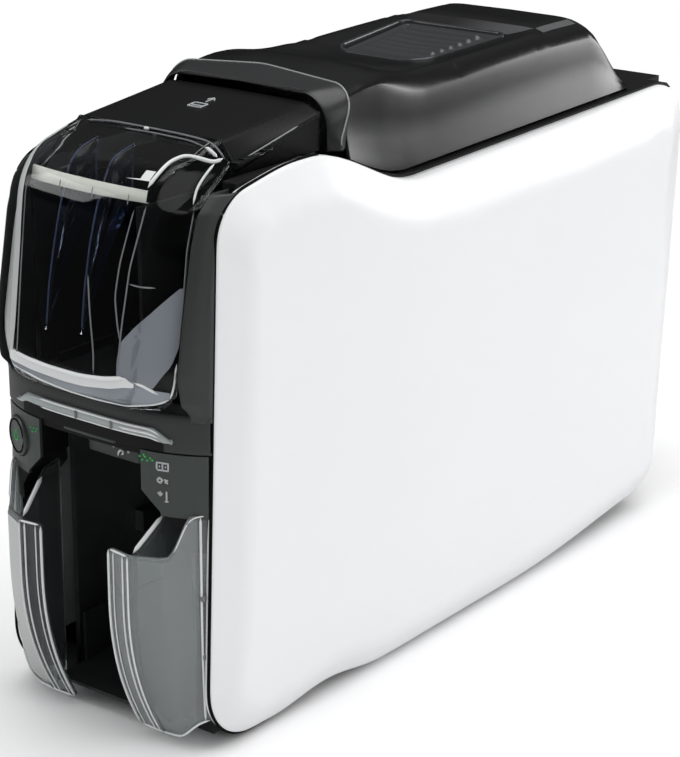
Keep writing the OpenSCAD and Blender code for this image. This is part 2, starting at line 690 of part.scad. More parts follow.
module rear_panel() {
    color("dimgray") difference() {
        block([-rear_half, plate_y - wall, pan_z + pan_h + 0.2], [rear_half, plate_y, body_h + 2]);
        translate([jack_x, plate_y + 1, socket_z]) rotate([90, 0, 0]) cylinder(r = 5.2, h = wall + 2);
        block([usb_x - 6.3, plate_y - 5, socket_z - 6.3], [usb_x + 6.3, plate_y + 1, socket_z + 6.3]);
        block([lan_x - 8.3, plate_y - 5, socket_z - 7.3], [lan_x + 8.3, plate_y + 1, socket_z + 7.3]);
        block([40, plate_y - 5, socket_z - 3.5], [43, plate_y + 1, socket_z + 3.5]);
        for (i = [0 : 9]) block([-34, plate_y - 5, 120 + i * 8], [34, plate_y + 1, 123.5 + i * 8]);
    }
}
module main_board() {
    color("seagreen") block([-frame_x + 2, board_y, 24], [frame_x - 2, board_y + 1.6, 118]);
    color("black") {
        block([-20, board_y - 2.5, 70], [4, board_y, 94]);
        block([12, board_y - 1.8, 74], [26, board_y, 86]);
        block([-30, board_y - 9, 60], [-22, board_y, 66]);
    }
    color("gray") for (p = [[16, 60], [28, 60], [-28, 100]]) translate([p.x, board_y, p.y])
        rotate([90, 0, 0]) cylinder(r = 4, h = 10);
    // stand-offs to the rear panel
    color("silver") for (x = [-30, 30]) for (z = [28, 112]) translate([x, plate_y - wall, z])
        rotate([90, 0, 0]) cylinder(r = 2.5, h = plate_y - wall - board_y - 1.6);
}
socket_y0 = board_y + 1.6;
module dc_jack() {
    color("black") {
        translate([jack_x, plate_y + 0.5, socket_z]) rotate([90, 0, 0]) difference() {
            cylinder(r = 5, h = plate_y + 0.5 - socket_y0);
            translate([0, 0, -1]) cylinder(r = 3.1, h = 10);
        }
        translate([jack_x, plate_y - 0.5, socket_z]) rotate([90, 0, 0]) cylinder(r = 1, h = 9);
    }
}
module usb_socket() {
    color("silver") difference() {
        block([usb_x - 6, socket_y0, socket_z - 6], [usb_x + 6, plate_y + 0.5, socket_z + 6]);
        block([usb_x - 4.2, plate_y - 9, socket_z - 3.9], [usb_x + 4.2, plate_y + 1, socket_z + 3.9]);
    }
    color("white") block([usb_x - 2.8, plate_y - 9.5, socket_z - 1.6], [usb_x + 2.8, plate_y - 1, socket_z + 1.6]);
}
module lan_socket() {
    color("silver") difference() {
        block([lan_x - 8, socket_y0, socket_z - 7], [lan_x + 8, plate_y + 0.5, socket_z + 7]);
        block([lan_x - 6, plate_y - 12, socket_z - 4.5], [lan_x + 6, plate_y + 1, socket_z + 4.5]);
    }
}

// ---- drive ----
// Half width of a tooth, in degrees, at radius r
function inv(a) = tan(a) * 180 / PI - a;
function tooth_half(r, rp, teeth) =
    let (rb = rp * cos(20), a = acos(min(1, rb / max(r, rb)))) 90 / teeth * 0.93 - (inv(a) - inv(20));
function gear_outline(teeth, m) =
    let (rp = m * teeth / 2, rf = rp - 1.25 * m, ra = rp + 0.92 * m)
    let (rs = [rf, rp - 0.45 * m, rp, rp + 0.5 * m, ra])
    [for (k = [0 : teeth - 1]) each concat(
        [for (r = rs) let (a = 360 / teeth * k - tooth_half(r, rp, teeth)) r * [cos(a), sin(a)]],
        [for (i = [4 : -1 : 0]) let (a = 360 / teeth * k + tooth_half(rs[i], rp, teeth)) rs[i] * [cos(a), sin(a)]])];
module gear(at, teeth, x0, x1) {
    translate([0, at.x, at.y]) along_x(x0, x1) polygon(gear_outline(teeth, gear_m));
}
module motor_pinion() {
    color("gold") {
        gear(motor_at, teeth_pinion, gear_x, gear_x + gear_w + 1);
        rod(motor_at, 2.5, frame_x - 10, gear_x + 0.5);
    }
}
module idler_gear() {
    color("white") difference() {
        gear(idler_at, teeth_idler, gear_x, gear_x + gear_w);
        rod(idler_at, shaft_r + run, gear_x - 1, gear_x + gear_w + 1);
        for (a = [0 : 60 : 300]) rod(idler_at + 17 * [cos(a), sin(a)] * gear_m, 6, gear_x - 1, gear_x + gear_w + 1);
    }
}
module platen_gear() {
    color("white") difference() {
        gear(platen_at, teeth_platen, gear_x, gear_x + gear_w);
        rod(platen_at, shaft_r, gear_x - 1, gear_x + gear_w + 1);
    }
}
motor_half = 17.5;
module drive_motor() {
    color("silver") difference() {
        union() {
            along_x(frame_x - 26, frame_x) translate(motor_at)
                polygon(rounded([[-motor_half, -motor_half, 4], [motor_half, -motor_half, 4],
                    [motor_half, motor_half, 4], [-motor_half, motor_half, 4]], 4));
            rod(motor_at, 11, frame_x - 1, frame_out);
        }
        rod(motor_at, 2.5 + run, frame_x - 11, frame_out + 1);
    }
}
belt_runs = [[front_at, platen_at, 0], [platen_at, rear_at, 1], [pick_at, front_at, 1], [front_at, takeup_at, 2]];
function belt_place(k) = -(belt_x + k * belt_step);
module drive_belts() {
    color("black") for (b = belt_runs) along_x(belt_place(b[2]) - belt_w + 0.5, belt_place(b[2]) - 0.5) difference() {
        polygon(belt_loop(b[0], pulley_r + 0.3 + belt_t, b[1], pulley_r + 0.3 + belt_t));
        polygon(belt_loop(b[0], pulley_r + 0.3, b[1], pulley_r + 0.3));
    }
}
module pulley(at, k) {
    rod(at, pulley_r, belt_place(k) - belt_w + 0.2, belt_place(k) - 0.2);
    rod(at, pulley_r + belt_t + 0.6, belt_place(k) - 0.2, belt_place(k) + 0.5);
}
module shaft(at, places, x1) {
    rod(at, shaft_r, belt_place(max(places)) - belt_w, x1);
    for (k = places) pulley(at, k);
}
module pick_shaft() {
    color("silver") shaft(pick_at, [1], frame_out + 1.5);
}
module front_feed_shaft() {
    color("silver") shaft(front_at, [0, 1, 2], frame_out + 1.5);
}
module platen_shaft() {
    color("silver") shaft(platen_at, [0, 1], gear_x + gear_w + 1);
}
module rear_feed_shaft() {
    color("silver") shaft(rear_at, [1], frame_out + 1.5);
}
module sleeve(at, r, x0, x1, hole) {
    difference() {
        rod(at, r, x0, x1);
        rod(at, hole, x0 - 1, x1 + 1);
    }
}
module pair_of_sleeves(at, r) {
    color("darkslategray") both_sides() sleeve(at, r, 10, 22, shaft_r);
}
module pick_rubbers() {
    pair_of_sleeves(pick_at, pick_r);
}
module front_feed_rubbers() {
    pair_of_sleeves(front_at, feed_r);
}
module rear_feed_rubbers() {
    pair_of_sleeves(rear_at, feed_r);
}
module platen_rubber() {
    color("darkslategray") sleeve(platen_at, platen_r, -hop_half - 2, hop_half + 2, shaft_r);
}
module pinch_roller(at) {
    color("silver") rod(at, 2, -frame_out - 1, frame_out + 1);
    color("gray") both_sides() rod(at, pinch_r, 10, 22);
}
module front_pinch_roller() {
    pinch_roller(front_pinch_at);
}
module rear_pinch_roller() {
    pinch_roller(rear_pinch_at);
}
module cleaning_roller() {
    color("silver") rod(clean_at, 2, -frame_out - 1, frame_out + 1);
    color("royalblue") rod(clean_at, clean_r, -hop_half, hop_half);
}

// ---- ribbon ----
core_r = 7;
film_half = hop_half + 1;
module spool(at, shaft_x) {
    rod(at, shaft_r, shaft_x, frame_out + 1);
    rod(at, core_r, -film_half - 3, film_half + 3);
}
module takeup_spool() {
    color("gray") {
        spool(takeup_at, belt_place(2) - belt_w);
        pulley(takeup_at, 2);
    }
}
module supply_spool() {
    color("gray") spool(supply_at, -frame_out - 1);
}
module takeup_roll() {
    color("black") sleeve(takeup_at, takeup_r, -film_half, film_half, core_r);
}
module supply_roll() {
    color("black") sleeve(supply_at, supply_r, -film_half, film_half, core_r);
}
head_half = 30;
head_y = platen_at.x;
film_t = 0.3;
film_z = path_z + 1;
module ribbon_film() {
    a = [head_y - 12, film_z];
    b = [head_y + 14, film_z];
    ta = touch(a, takeup_at, takeup_r + 0.9, -1);
    tb = touch(b, supply_at, supply_r + 0.9, 1);
    color("darkslateblue") along_x(-film_half + 1, film_half - 1)
        polygon([a, ta, ta + [0, film_t * 1.4], a + [0.2, film_t], b + [-0.2, film_t], tb + [0, film_t * 1.4], tb, b]);
}

// ---- top cover ----
// Height of the shoulder line, of the plateau and of the crown along the cover
function tail(y) = smooth((y - lid_rear + 34) / 40);
function lid_low(y) = panel_top(y) + lid_edge;
function lid_line(y, k, foot) =
    mix(lid_top + lookup(y - lid_front, [for (p = lid_heights) [p[0], p[k]]]), lid_low(lid_rear) + foot, tail(y));
// Distance behind the front edge, then shoulder, plateau and crown over lid_top
lid_heights = [[0, -5, -3, 1], [14, -3, -1, 2.3], [28, -2.3, 0, 3], [34, -4, -0.3, 2.4], [40, -6.3, -1, 0.6],
    [47, -8.6, -2.2, -2.2], [53, -10.2, -3, -4.5], [61, -11.3, -3.6, -6], [73, -11, -3.8, -6.8],
    [91, -10.2, -3.8, -7], [121, -8.5, -3, -5], [152, -7.8, -2.2, -2.7], [161, -7.6, -2, -1.9],
    [168, -7.6, -1.8, -0.8], [176, -7.7, -1.4, 0], [196, -8, -1.4, 0]];
function shoulder(y) = lid_line(y, 1, 2);
function plateau(y) = lid_line(y, 2, 3);
function crown(y) = lid_line(y, 3, 3);
// The front edge leans back towards the crown
lid_lean = 6;
function lean(z) = lid_lean * clamp01((z - lid_top + 22) / 24);
lid_steps = concat([for (d = [0 : 7 : 21]) lid_front + d],
    [for (p = lid_heights) if (p[0] > 21 && p[0] < 190) lid_front + p[0]],
    [for (i = [0 : 7]) mix(lid_rear - 34, lid_rear, i / 7)]);
// One cross-section of the cover, left foot to right foot, inset by t
function lid_half_section(y, t) =
    let (low = lid_low(y), sh = shoulder(y) - t, pl = plateau(y) - t, cr = crown(y) - t, h = sh - low)
    [[lid_half - t, low], [lid_half - 1 - t, low + h * 0.2], [lid_half - 2.6 - t, low + h * 0.5],
        [lid_half - 3.6 - t, low + h * 0.85], [lid_half - 4.6 - t, sh], [lid_half - 7.5 - t, mix(sh, pl, 0.75)],
        [lid_half - 10 - t, pl], [lid_half - 22, mix(pl, cr, 0.6)], [lid_half - 40, cr]];
function lid_section(y, t) =
    let (h = lid_half_section(y, t), fade = 1 - smooth((y - lid_front) / 28))
    concat([for (p = h) [-p.x, y + fade * lean(p.y), p.y]],
        [for (i = [len(h) - 1 : -1 : 0]) [h[i].x, y + fade * lean(h[i].y), h[i].y]]);
function rear_pull(y) = wall * 1.2 * tail(y);
latch_plan = [[-24, latch_y, 9], [24, latch_y, 9], [latch_half, latch_y + latch_l, 5], [-latch_half, latch_y + latch_l, 5]];
module latch_outline(c) {
    polygon(rounded([for (p = latch_plan) [p[0] + sign(p[0]) * c, p[1] + (p[1] > latch_y ? c : -c), p[2]]], 5));
}
// Everything under a plane that stands over the button's top by a height
module latch_slab(low, over) {
    along_x(-latch_half - 5, latch_half + 5) polygon([[latch_y - 5, low],
        [latch_y - 5, latch_z + over], [latch_y + latch_l + 5, latch_z + latch_slope + over],
        [latch_y + latch_l + 5, low]]);
}
module top_cover() {
    ear_x = hinge_x + lug_w + 0.4;
    color("black") difference() {
        union() {
            skin([for (y = lid_steps) lid_section(y, 0)],
                [for (y = lid_steps) [for (p = lid_section(y, wall)) [p.x, p.y - rear_pull(y), p.z]]]);
            // pocket of the latch button
            intersection() {
                translate([0, 0, latch_floor - 2]) linear_extrude(30) latch_outline(2.6);
                latch_slab(latch_floor - 3, 1.8);
            }
            // hinge ears and shaft brackets of the latch
            both_sides() along_x(ear_x, ear_x + lug_w - 1)
                polygon(concat([for (d = [18, 12, 7]) [hinge_at.x - d, plateau(hinge_at.x - d) - 1]],
                    arc(hinge_at, lug_r, 60, -120, 10), [[hinge_at.x - 18, hinge_at.y + 3]]));
            both_sides() block([22, hook_at.x - 4, hook_at.y - 4], [25, hook_at.x + 4, latch_floor]);
        }
        translate([0, 0, latch_floor]) linear_extrude(40) latch_outline(0.5);
        translate([0, stem_y, latch_floor - 5]) cylinder(r = stem_r + 0.4, h = 12);
        both_sides() rod(hinge_at, hinge_r + run, hinge_x - 1, hinge_x + 2 * lug_w + 1);
        both_sides() rod(hinge_at, lug_r + 1.2, hinge_x - 0.5, ear_x);
        both_sides() block([hinge_x - 0.5, hinge_at.x - lug_r - 1.2, hinge_at.y - 20],
            [ear_x, hinge_at.x + 20, hinge_at.y]);
        both_sides() rod(hook_at, 2 + run, 20, 27);
        block([-18, hook_at.x - 5, latch_floor - 12], [18, hook_at.x + 5, latch_floor - 2]);
    }
}
// Rim of the cover's front opening: half an arch with flat crown, as [x, z]
arch_foot = lid_low(lid_front - 10);
function arch_path(w, top, rise, r) =
    open_path([[-w, arch_foot, 0], [-w, top, r], [0, top + rise, 60], [w, top, r], [w, arch_foot, 0]], 8);
module arch_trim() {
    inner = arch_path(lid_half - 4.7, lid_top - 3, 0.5, 15);
    outer = arch_path(lid_half - 0.7, lid_top - 1.5, 3.8, 12);
    n = len(inner);
    mid = [for (i = [0 : n - 1]) mix(inner[i], outer[i], 0.55)];
    rows = [
        [for (p = inner) [p.x, lid_front - 10, p.y]],
        [for (p = outer) [p.x, lid_front - 5 + 1.6 * lean(p.y), p.y]],
        [for (p = outer) [p.x, lid_front + lean(p.y), p.y]]];
    back = [
        [for (p = inner) [p.x * 0.985, lid_front - 6.5, p.y - 0.1]],
        [for (p = mid) [p.x, lid_front - 3 + 1.2 * lean(p.y), p.y]],
        [for (p = mid) [p.x, lid_front + lean(p.y), p.y]]];
    color("dimgray") skin(rows, back);
}
module lid_hinge_pins() {
    color("silver") both_sides() rod(hinge_at, hinge_r, hinge_x - 1, hinge_x + 2 * lug_w + 1);
}
module printhead_bracket() {
    roof = crown(head_y) - wall;
    color("silver") {
        block([-head_half, head_y - 5, path_z + 22], [head_half, head_y - 3, roof]);
        block([-head_half, head_y - 5, path_z + 20], [head_half, head_y + 7, path_z + 22]);
        both_sides() block([head_half - 2, head_y - 5, path_z + 20], [head_half, head_y + 7, path_z + 60]);
    }
}
module printhead() {
    color("black") block([-head_half + 2.2, head_y - 2.8, path_z + 6], [head_half - 2.2, head_y + 6, path_z + 20]);
    color("silver") block([-head_half + 2.2, head_y - 2, path_z + 2], [head_half - 2.2, head_y + 3, path_z + 6]);
}
module latch_button() {
    bottom = latch_floor + 9.5;
    color("dimgray") {
        intersection() {
            translate([0, 0, bottom]) linear_extrude(30) latch_outline(0);
            latch_slab(bottom, 0);
        }
        for (i = [0 : 6]) let (y = latch_y + 12 + i * 6.4, z = latch_z + latch_slope * (y - latch_y) / latch_l)
            rod([y, z - 0.7], 1.5, -19 - i * 0.5, 19 + i * 0.5);
        // stem, with a thin tip that pushes the hooks' lever
        translate([0, stem_y, hook_at.y + 1.9]) cylinder(r = 1, h = 4);
        translate([0, stem_y, hook_at.y + 4.5]) cylinder(r = stem_r, h = bottom - hook_at.y - 4);
    }
}
// Coil of n turns round the stem
module coil(r, wire, z0, z1, turns) {
    n = 12;
    steps = turns * n;
    side = 6;
    points = [for (i = [0 : steps]) let (a = 360 * i / n) for (k = [0 : side - 1])
        let (b = 360 * k / side, q = r + wire * cos(b))
        [q * cos(a), q * sin(a), mix(z0, z1, i / steps) + wire * sin(b)]];
    bands = [for (i = [0 : steps - 1]) for (k = [0 : side - 1])
        let (j = (k + 1) % side, a = i * side, b = a + side) each [[a + k, a + j, b + j], [a + k, b + j, b + k]]];
    caps = [[for (k = [side - 1 : -1 : 0]) k], [for (k = [0 : side - 1]) steps * side + k]];
    polyhedron(points, concat(bands, caps), convexity = 8);
}
module latch_spring() {
    color("silver") translate([0, stem_y, 0]) coil(stem_r + 1.6, 0.5, latch_floor + 0.5, latch_floor + 9, 4);
}
module latch_hooks() {
    color("silver") {
        rod(hook_at, 2, -hook_x - hook_w, hook_x + hook_w);
        both_sides() along_x(hook_x, hook_x + hook_w) polygon([hook_at + [-2, 3], hook_at + [2, 3],
            hook_at + [1.8, -26.5], hook_at + [4.6, -27], hook_at + [4.6, -29.5], hook_at + [-2, -29.5]]);
        along_x(-5, 5) polygon([hook_at + [-2, 0], hook_at + [0, -2.2], [stem_y + 4, hook_at.y - 1],
            [stem_y + 4, hook_at.y + 1], hook_at + [0, 2.2]]);
    }
}

// ---- hopper cover and door ----
function cover_crown(y) = cover_z + cover_climb * (y - cover_front) / (cover_rear - cover_front);
cover_half = frame_out + 5.2;
function cover_section(y, t) =
    let (z = cover_crown(y) - t, w = cover_half - t, low = bay_top + 0.5)
    let (right = [[w, low], [w, z - 10], [w - 1, z - 8.3], [cover_top_half + 2 - t, z - 1.2],
        [cover_top_half - t, z], [cover_top_half - 14, z + 0.4]])
    concat([for (p = right) [-p.x, y, p.y]], [for (i = [5 : -1 : 0]) [right[i].x, y, right[i].y]]);
cover_steps = [for (t = [0 : 0.25 : 1]) mix(cover_front, cover_rear, t)];
module hopper_top_cover() {
    color("black") {
        difference() {
            skin([for (y = cover_steps) cover_section(y, 0)], [for (y = cover_steps) cover_section(y, wall)]);
            block([-cover_half + wall + 0.1, cover_front - 1, bay_top - 4],
                [cover_half - wall - 0.1, cover_rear + 1, bay_top + 1]);
        }
        // hinge ears with moulded pins in the frames
        both_sides() along_x(frame_out + 0.6, cover_half - 0.5)
            polygon(concat(arc(cover_hinge, 4, 150, 390, 12), [cover_hinge + [3, 9], cover_hinge + [-10, 9]]));
        both_sides() rod(cover_hinge, hinge_r, frame_x - 1, frame_out + 1);
    }
}
// Side view of the door's skin, bottom lip to top edge, as [y, z]
door_foot = [door_y + 0.4, door_z + 3];
door_brow = [door_y + door_lean, cover_z - 9];
door_side_path = open_path(concat([[door_y + 7, door_z - 2, 0], [door_foot.x, door_foot.y, 5]],
    [for (k = [0.1, 0.2, 0.4, 0.6, 0.76]) let (p = mix(door_foot, door_brow, k)) [p.x, p.y, 0]],
    [[door_brow.x, door_brow.y, door_roll], [cover_front - 0.4, cover_z, 0]]), 7);
function path_normal(p, i) =
    let (a = p[max(0, i - 1)], b = p[min(len(p) - 1, i + 1)], d = unit(b - a)) [d.y, -d.x];
door_rows = len(door_side_path);
// Half width of the door's rear edge, of its front face and how far back it reaches, at height z
function door_wide(z) =
    lookup(z, [[door_z - 2, door_half - 10], [door_z + 3, door_half - 5], [door_z + 10, door_half - 1.2],
        [door_z + 20, door_half], [cover_z - 40, door_half], [cover_z - 16, cover_half + 0.5],
        [cover_z - 10, cover_half], [cover_z - 8.3, cover_half - 1], [cover_z - 1.2, cover_top_half + 2],
        [cover_z, cover_top_half]]);
function door_face(z) =
    lookup(z, [[door_z - 2, door_flat - 7], [door_z + 8, door_flat - 1], [door_z + 20, door_flat],
        [cover_z - 30, door_flat], [cover_z - 6, cover_top_half - 3], [cover_z, cover_top_half - 1]]);
function door_back(z) =
    lookup(z, [[door_z - 2, hop_y0 - 1.5], [door_z + 5, cheek_front(door_z + 5) + 2.5],
        [door_z + 15, cheek_front(door_z + 15) + 3], [bay_top - 22, cheek_front(bay_top - 22) + 3],
        [bay_top - 9, cheek_front(bay_top - 9) + 4], [cover_z - 8, cover_front - 0.4],
        [cover_z, cover_front - 0.4]]);
// Plan line of row i of the skin, rear edge to rear edge, inset by t
function door_row(i, t) =
    let (q = door_side_path[i], c = q + path_normal(door_side_path, i) * t, z = c.y)
    let (f = door_face(q.y) - t * 0.4, w = door_wide(q.y) - t)
    let (y1 = max(door_back(q.y), q.x + 0.6), y0 = min(c.x, y1 - 0.3), e = y1 - y0)
    let (bow = min(3, e * 0.15), side = min(1, e / 18))
    let (right = [[w, y1, z], [mix(f, w, 0.62), y0 + e * 0.5 + bow, z], [f + 2.4 * side, y0 + bow + 2.6 * side, z],
        [f, y0 + bow, z], [f - 4, y0 + bow * 0.7, z], [f * 0.5, y0 + bow * 0.2, z]])
    concat([for (p = right) [-p.x, p.y, p.z]], [[0, y0, z]], [for (j = [5 : -1 : 0]) right[j]]);
module front_door() {
    color("black", 0.6) skin([for (i = [0 : door_rows - 1]) door_row(i, 0)],
        [for (i = [0 : door_rows - 1]) door_row(i, clear_t)]);
}

// Two blades and a cross strip moulded behind the door's front face
blade_x = [-15, 5];
function blade_edge(z, t) =
    let (k = (z - door_foot.y) / (door_brow.y - door_foot.y)) [mix(door_foot.x, door_brow.x, k) + clear_t + t, z];
blade_z = [for (k = [0 : 0.125 : 1]) mix(door_z + 9, door_z + 78, k)];
// Plan of the cross strip, which follows the bow of the face, as [x, set back]
strip_z = door_z + 81.5;
strip_plan = [[-door_flat, 2.4], [4 - door_flat, 1.7], [-door_flat / 2, 0.5], [0, 0], [door_flat / 2, 0.5],
    [door_flat - 5, 1.6]];
module door_ribs() {
    strip_y = blade_edge(strip_z, 0).x;
    color("steelblue", 0.7) difference() {
        union() {
            for (x = blade_x) along_x(x - 0.6, x + 0.6) polygon(concat([for (z = blade_z) blade_edge(z, 0)],
                [for (i = [8 : -1 : 0]) blade_edge(blade_z[i], 1.6 + 5 * sin(20 * i))]));
            translate([0, 0, strip_z]) linear_extrude(4.5)
                polygon(concat([for (p = strip_plan) [p[0], strip_y + p[1] + 1.2]],
                    [for (i = [5 : -1 : 0]) [strip_plan[i][0], strip_y + strip_plan[i][1] + 3.4]]));
        }
        front_door();
    }
}

base_pan();
rubber_feet();
left_side_panel();
right_side_panel();
front_bezel();
lower_front_frame();
left_control_panel();
right_control_panel();
light_bar();
exit_tab();
left_wing();
right_wing();
output_tray();
left_frame();
right_frame();
cross_bars();
card_hopper();
card_path();
exit_chute();
top_deck();
rear_panel();
main_board();
dc_jack();
usb_socket();
lan_socket();
drive_motor();
drive_belts();
housing_screws();
ribbon_film();
power_button();
card_weight();
pick_shaft();
pick_rubbers();
front_feed_shaft();
front_feed_rubbers();
platen_shaft();
platen_rubber();
platen_gear();
rear_feed_shaft();
rear_feed_rubbers();
front_pinch_roller();
rear_pinch_roller();
cleaning_roller();
motor_pinion();
idler_gear();
takeup_spool();
takeup_roll();
supply_spool();
supply_roll();
top_cover();
arch_trim();
printhead_bracket();
printhead();
lid_hinge_pins();
latch_button();
latch_spring();
latch_hooks();
hopper_top_cover();
front_door();
door_ribs();
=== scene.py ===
import math
import bpy
import numpy as np
from mathutils import Matrix, Vector


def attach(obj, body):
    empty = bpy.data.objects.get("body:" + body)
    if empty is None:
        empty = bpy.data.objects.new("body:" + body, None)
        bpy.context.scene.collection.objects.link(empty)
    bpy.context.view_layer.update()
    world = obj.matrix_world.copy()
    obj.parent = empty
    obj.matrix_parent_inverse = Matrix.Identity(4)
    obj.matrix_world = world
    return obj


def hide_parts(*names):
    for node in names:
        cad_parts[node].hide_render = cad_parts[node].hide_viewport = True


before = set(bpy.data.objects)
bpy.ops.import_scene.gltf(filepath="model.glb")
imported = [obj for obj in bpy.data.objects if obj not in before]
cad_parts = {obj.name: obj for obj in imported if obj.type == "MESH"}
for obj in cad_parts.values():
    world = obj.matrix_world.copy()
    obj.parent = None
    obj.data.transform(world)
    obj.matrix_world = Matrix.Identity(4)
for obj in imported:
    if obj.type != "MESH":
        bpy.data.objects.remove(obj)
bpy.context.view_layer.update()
print("frame loaded", len(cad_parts), "nodes")

# sizes that several pieces share, in millimetres, as the solids have them
case = {"frontY": -179.0, "rearY": 202.0, "bodyH": 226.0, "frontRise": 23.0, "frontFall": 7.0,
        "rearRise": 6.5, "sideX": 68.5, "panelIn": 55.0, "bevelX": 6.5, "bevelW": 17.0,
        "frontCorner": 18.0, "rearCorner": 26.0, "footCorner": 28.0, "lidTop": 272.0}


# 0 below 0, 1 above 1, and 3 t^2 - 2 t^3 between
def smooth(t):
    c = np.clip(t, 0, 1)
    return c * c * (3 - 2 * c)


# a + (b - a) t
def mix(a, b, t):
    return a + (b - a) * t


# each vector divided by its length
def unit(v):
    return v / np.linalg.norm(v, axis=-1, keepdims=True)


# one grid of points from x, y and z, each of them a number, a row or a column
def gridOf(x, y, z):
    return np.stack(np.broadcast_arrays(x, y, z), -1)


# rows of control points [x, y, z]: what differs from row to row is an array, the rest are numbers
def rowsOf(points):
    return np.stack([gridOf(*p) for p in points], 1)


# whole rows from right halves that run from the side to the middle: the mirrored half comes first
def bothHalves(right):
    return np.concatenate([right[:, :-1] * (-1, 1, 1), right[:, ::-1]], 1)


# a path's points set evenly by length: count of them, or one every step and 12 at least
def evenly(path, count=0, step=1.0, endpoint=True):
    run = np.concatenate([[0], np.cumsum(np.linalg.norm(np.diff(path, axis=0), axis=1))])
    at = np.linspace(0, run[-1], count or max(12, int(run[-1] / step)), endpoint=endpoint)
    return np.stack([np.interp(at, run, column) for column in path.T], 1)


# values round a closed loop: each becomes half of itself and a quarter of each neighbour
def soften(a, times):
    for _ in range(times):
        a = 0.25 * np.roll(a, 1, 0) + 0.5 * a + 0.25 * np.roll(a, -1, 0)
    return a


# corner cutting along axis 1: every pair of neighbours gives points at a quarter and three quarters
def cutCorners(a, times):
    for _ in range(times):
        q = a[:, :-1] * 0.75 + a[:, 1:] * 0.25
        r = a[:, :-1] * 0.25 + a[:, 1:] * 0.75
        inner = np.stack([q, r], axis=2).reshape(a.shape[0], -1, a.shape[2])
        a = np.concatenate([a[:, :1], inner, a[:, -1:]], axis=1)
    return a


# path through corner points, each corner an arc of its own radius, set evenly by length
def filletPath(points, radii, count):
    p = np.array(points, float)
    out = [p[0]]
    for i in range(1, len(p) - 1):
        u, v = unit(p[i - 1] - p[i]), unit(p[i + 1] - p[i])
        half = math.acos(np.clip(u @ v, -1, 1)) / 2
        middle = p[i] + unit(u + v) * radii[i] / math.sin(half)
        start, end = (p[i] + k * radii[i] / math.tan(half) - middle for k in (u, v))
        first = math.atan2(start[1], start[0])
        turn = (math.atan2(end[1], end[0]) - first + math.pi) % (2 * math.pi) - math.pi
        a = first + turn * np.linspace(0, 1, 17)
        out.extend(middle + radii[i] * np.stack([np.cos(a), np.sin(a)], 1))
    out.append(p[-1])
    return evenly(np.array(out), count)


# one shader node; an input takes a plain value or another node's output
def addNode(tree, kind, inputs=None, **settings):
    node = tree.nodes.new("ShaderNode" + kind)
    for key, value in settings.items():
        setattr(node, key, value)
    return setInputs(tree, node, inputs or {})


def setInputs(tree, node, inputs):
    for key, value in inputs.items():
        if isinstance(value, bpy.types.NodeSocket):
            tree.links.new(value, node.inputs[key])
        else:
            node.inputs[key].default_value = value
    return node


# the result of one Math node
def maths(tree, kind, *terms, clamp=False):
    return addNode(tree, "Math", dict(enumerate(terms)), operation=kind, use_clamp=clamp).outputs[0]


# a shared group: named inputs, and a colour, a roughness and a height coming out
def makeGroup(name, inputs):
    g = bpy.data.node_groups.new(name, "ShaderNodeTree")
    for key, value in inputs.items():
        kind = "Float" if isinstance(value, float) else {3: "Vector", 4: "Color"}[len(value)]
        g.interface.new_socket(key, in_out="INPUT", socket_type="NodeSocket" + kind).default_value = value
    for key, kind in (("Color", "Color"), ("Roughness", "Float"), ("Height", "Float")):
        g.interface.new_socket(key, in_out="OUTPUT", socket_type="NodeSocket" + kind)
    return g, g.nodes.new("NodeGroupInput").outputs, g.nodes.new("NodeGroupOutput")


# moulded grain: fine noise for height, slow noise for colour drift, medium noise for roughness drift
def grainGroup():
    g, given, out = makeGroup("mouldedGrain", {"Scale": 900.0, "Base": (0.0, 0.0, 0.0, 1.0), "Drift": 0.08,
                                               "Rough": 0.4, "Rough Drift": 0.06})
    place = addNode(g, "TexCoord").outputs["Object"]
    fine = addNode(g, "TexNoise", {"Vector": place, "Scale": given["Scale"], "Detail": 3})
    slow = addNode(g, "TexNoise", {"Vector": place, "Scale": 14, "Detail": 4})
    dust = addNode(g, "TexNoise", {"Vector": place, "Scale": 160, "Detail": 2})
    drift = maths(g, "SUBTRACT", slow.outputs["Fac"], 0.5)
    value = maths(g, "MULTIPLY_ADD", drift, given["Drift"], 1)
    tint = addNode(g, "HueSaturation", {"Color": given["Base"], "Value": value})
    wearing = maths(g, "SUBTRACT", dust.outputs["Fac"], 0.5)
    rough = maths(g, "MULTIPLY_ADD", wearing, given["Rough Drift"], given["Rough"])
    setInputs(g, out, {"Color": tint.outputs["Color"], "Roughness": rough, "Height": fine.outputs["Fac"]})
    return g


# brushed metal: noise stretched along one way
def brushGroup():
    g, given, out = makeGroup("brushedMetal", {"Stretch": (20.0, 900.0, 900.0), "Base": (0.0, 0.0, 0.0, 1.0),
                                               "Rough": 0.3})
    place = addNode(g, "TexCoord").outputs["Object"]
    lines = addNode(g, "Mapping", {"Vector": place, "Scale": given["Stretch"]}).outputs["Vector"]
    noise = addNode(g, "TexNoise", {"Vector": lines, "Scale": 1, "Detail": 4}).outputs["Fac"]
    value = maths(g, "MULTIPLY_ADD", noise, 0.16, 0.92)
    tint = addNode(g, "HueSaturation", {"Color": given["Base"], "Value": value})
    rough = maths(g, "MULTIPLY_ADD", noise, 0.16, given["Rough"])
    setInputs(g, out, {"Color": tint.outputs["Color"], "Roughness": rough, "Height": noise})
    return g


grain, brush = grainGroup(), brushGroup()


def newMaterial(name):
    m = bpy.data.materials.new(name)
    m.use_nodes = True
    m.node_tree.nodes.clear()
    bsdf = addNode(m.node_tree, "BsdfPrincipled")
    out = addNode(m.node_tree, "OutputMaterial", {"Surface": bsdf.outputs[0]})
    return m, m.node_tree, bsdf, out


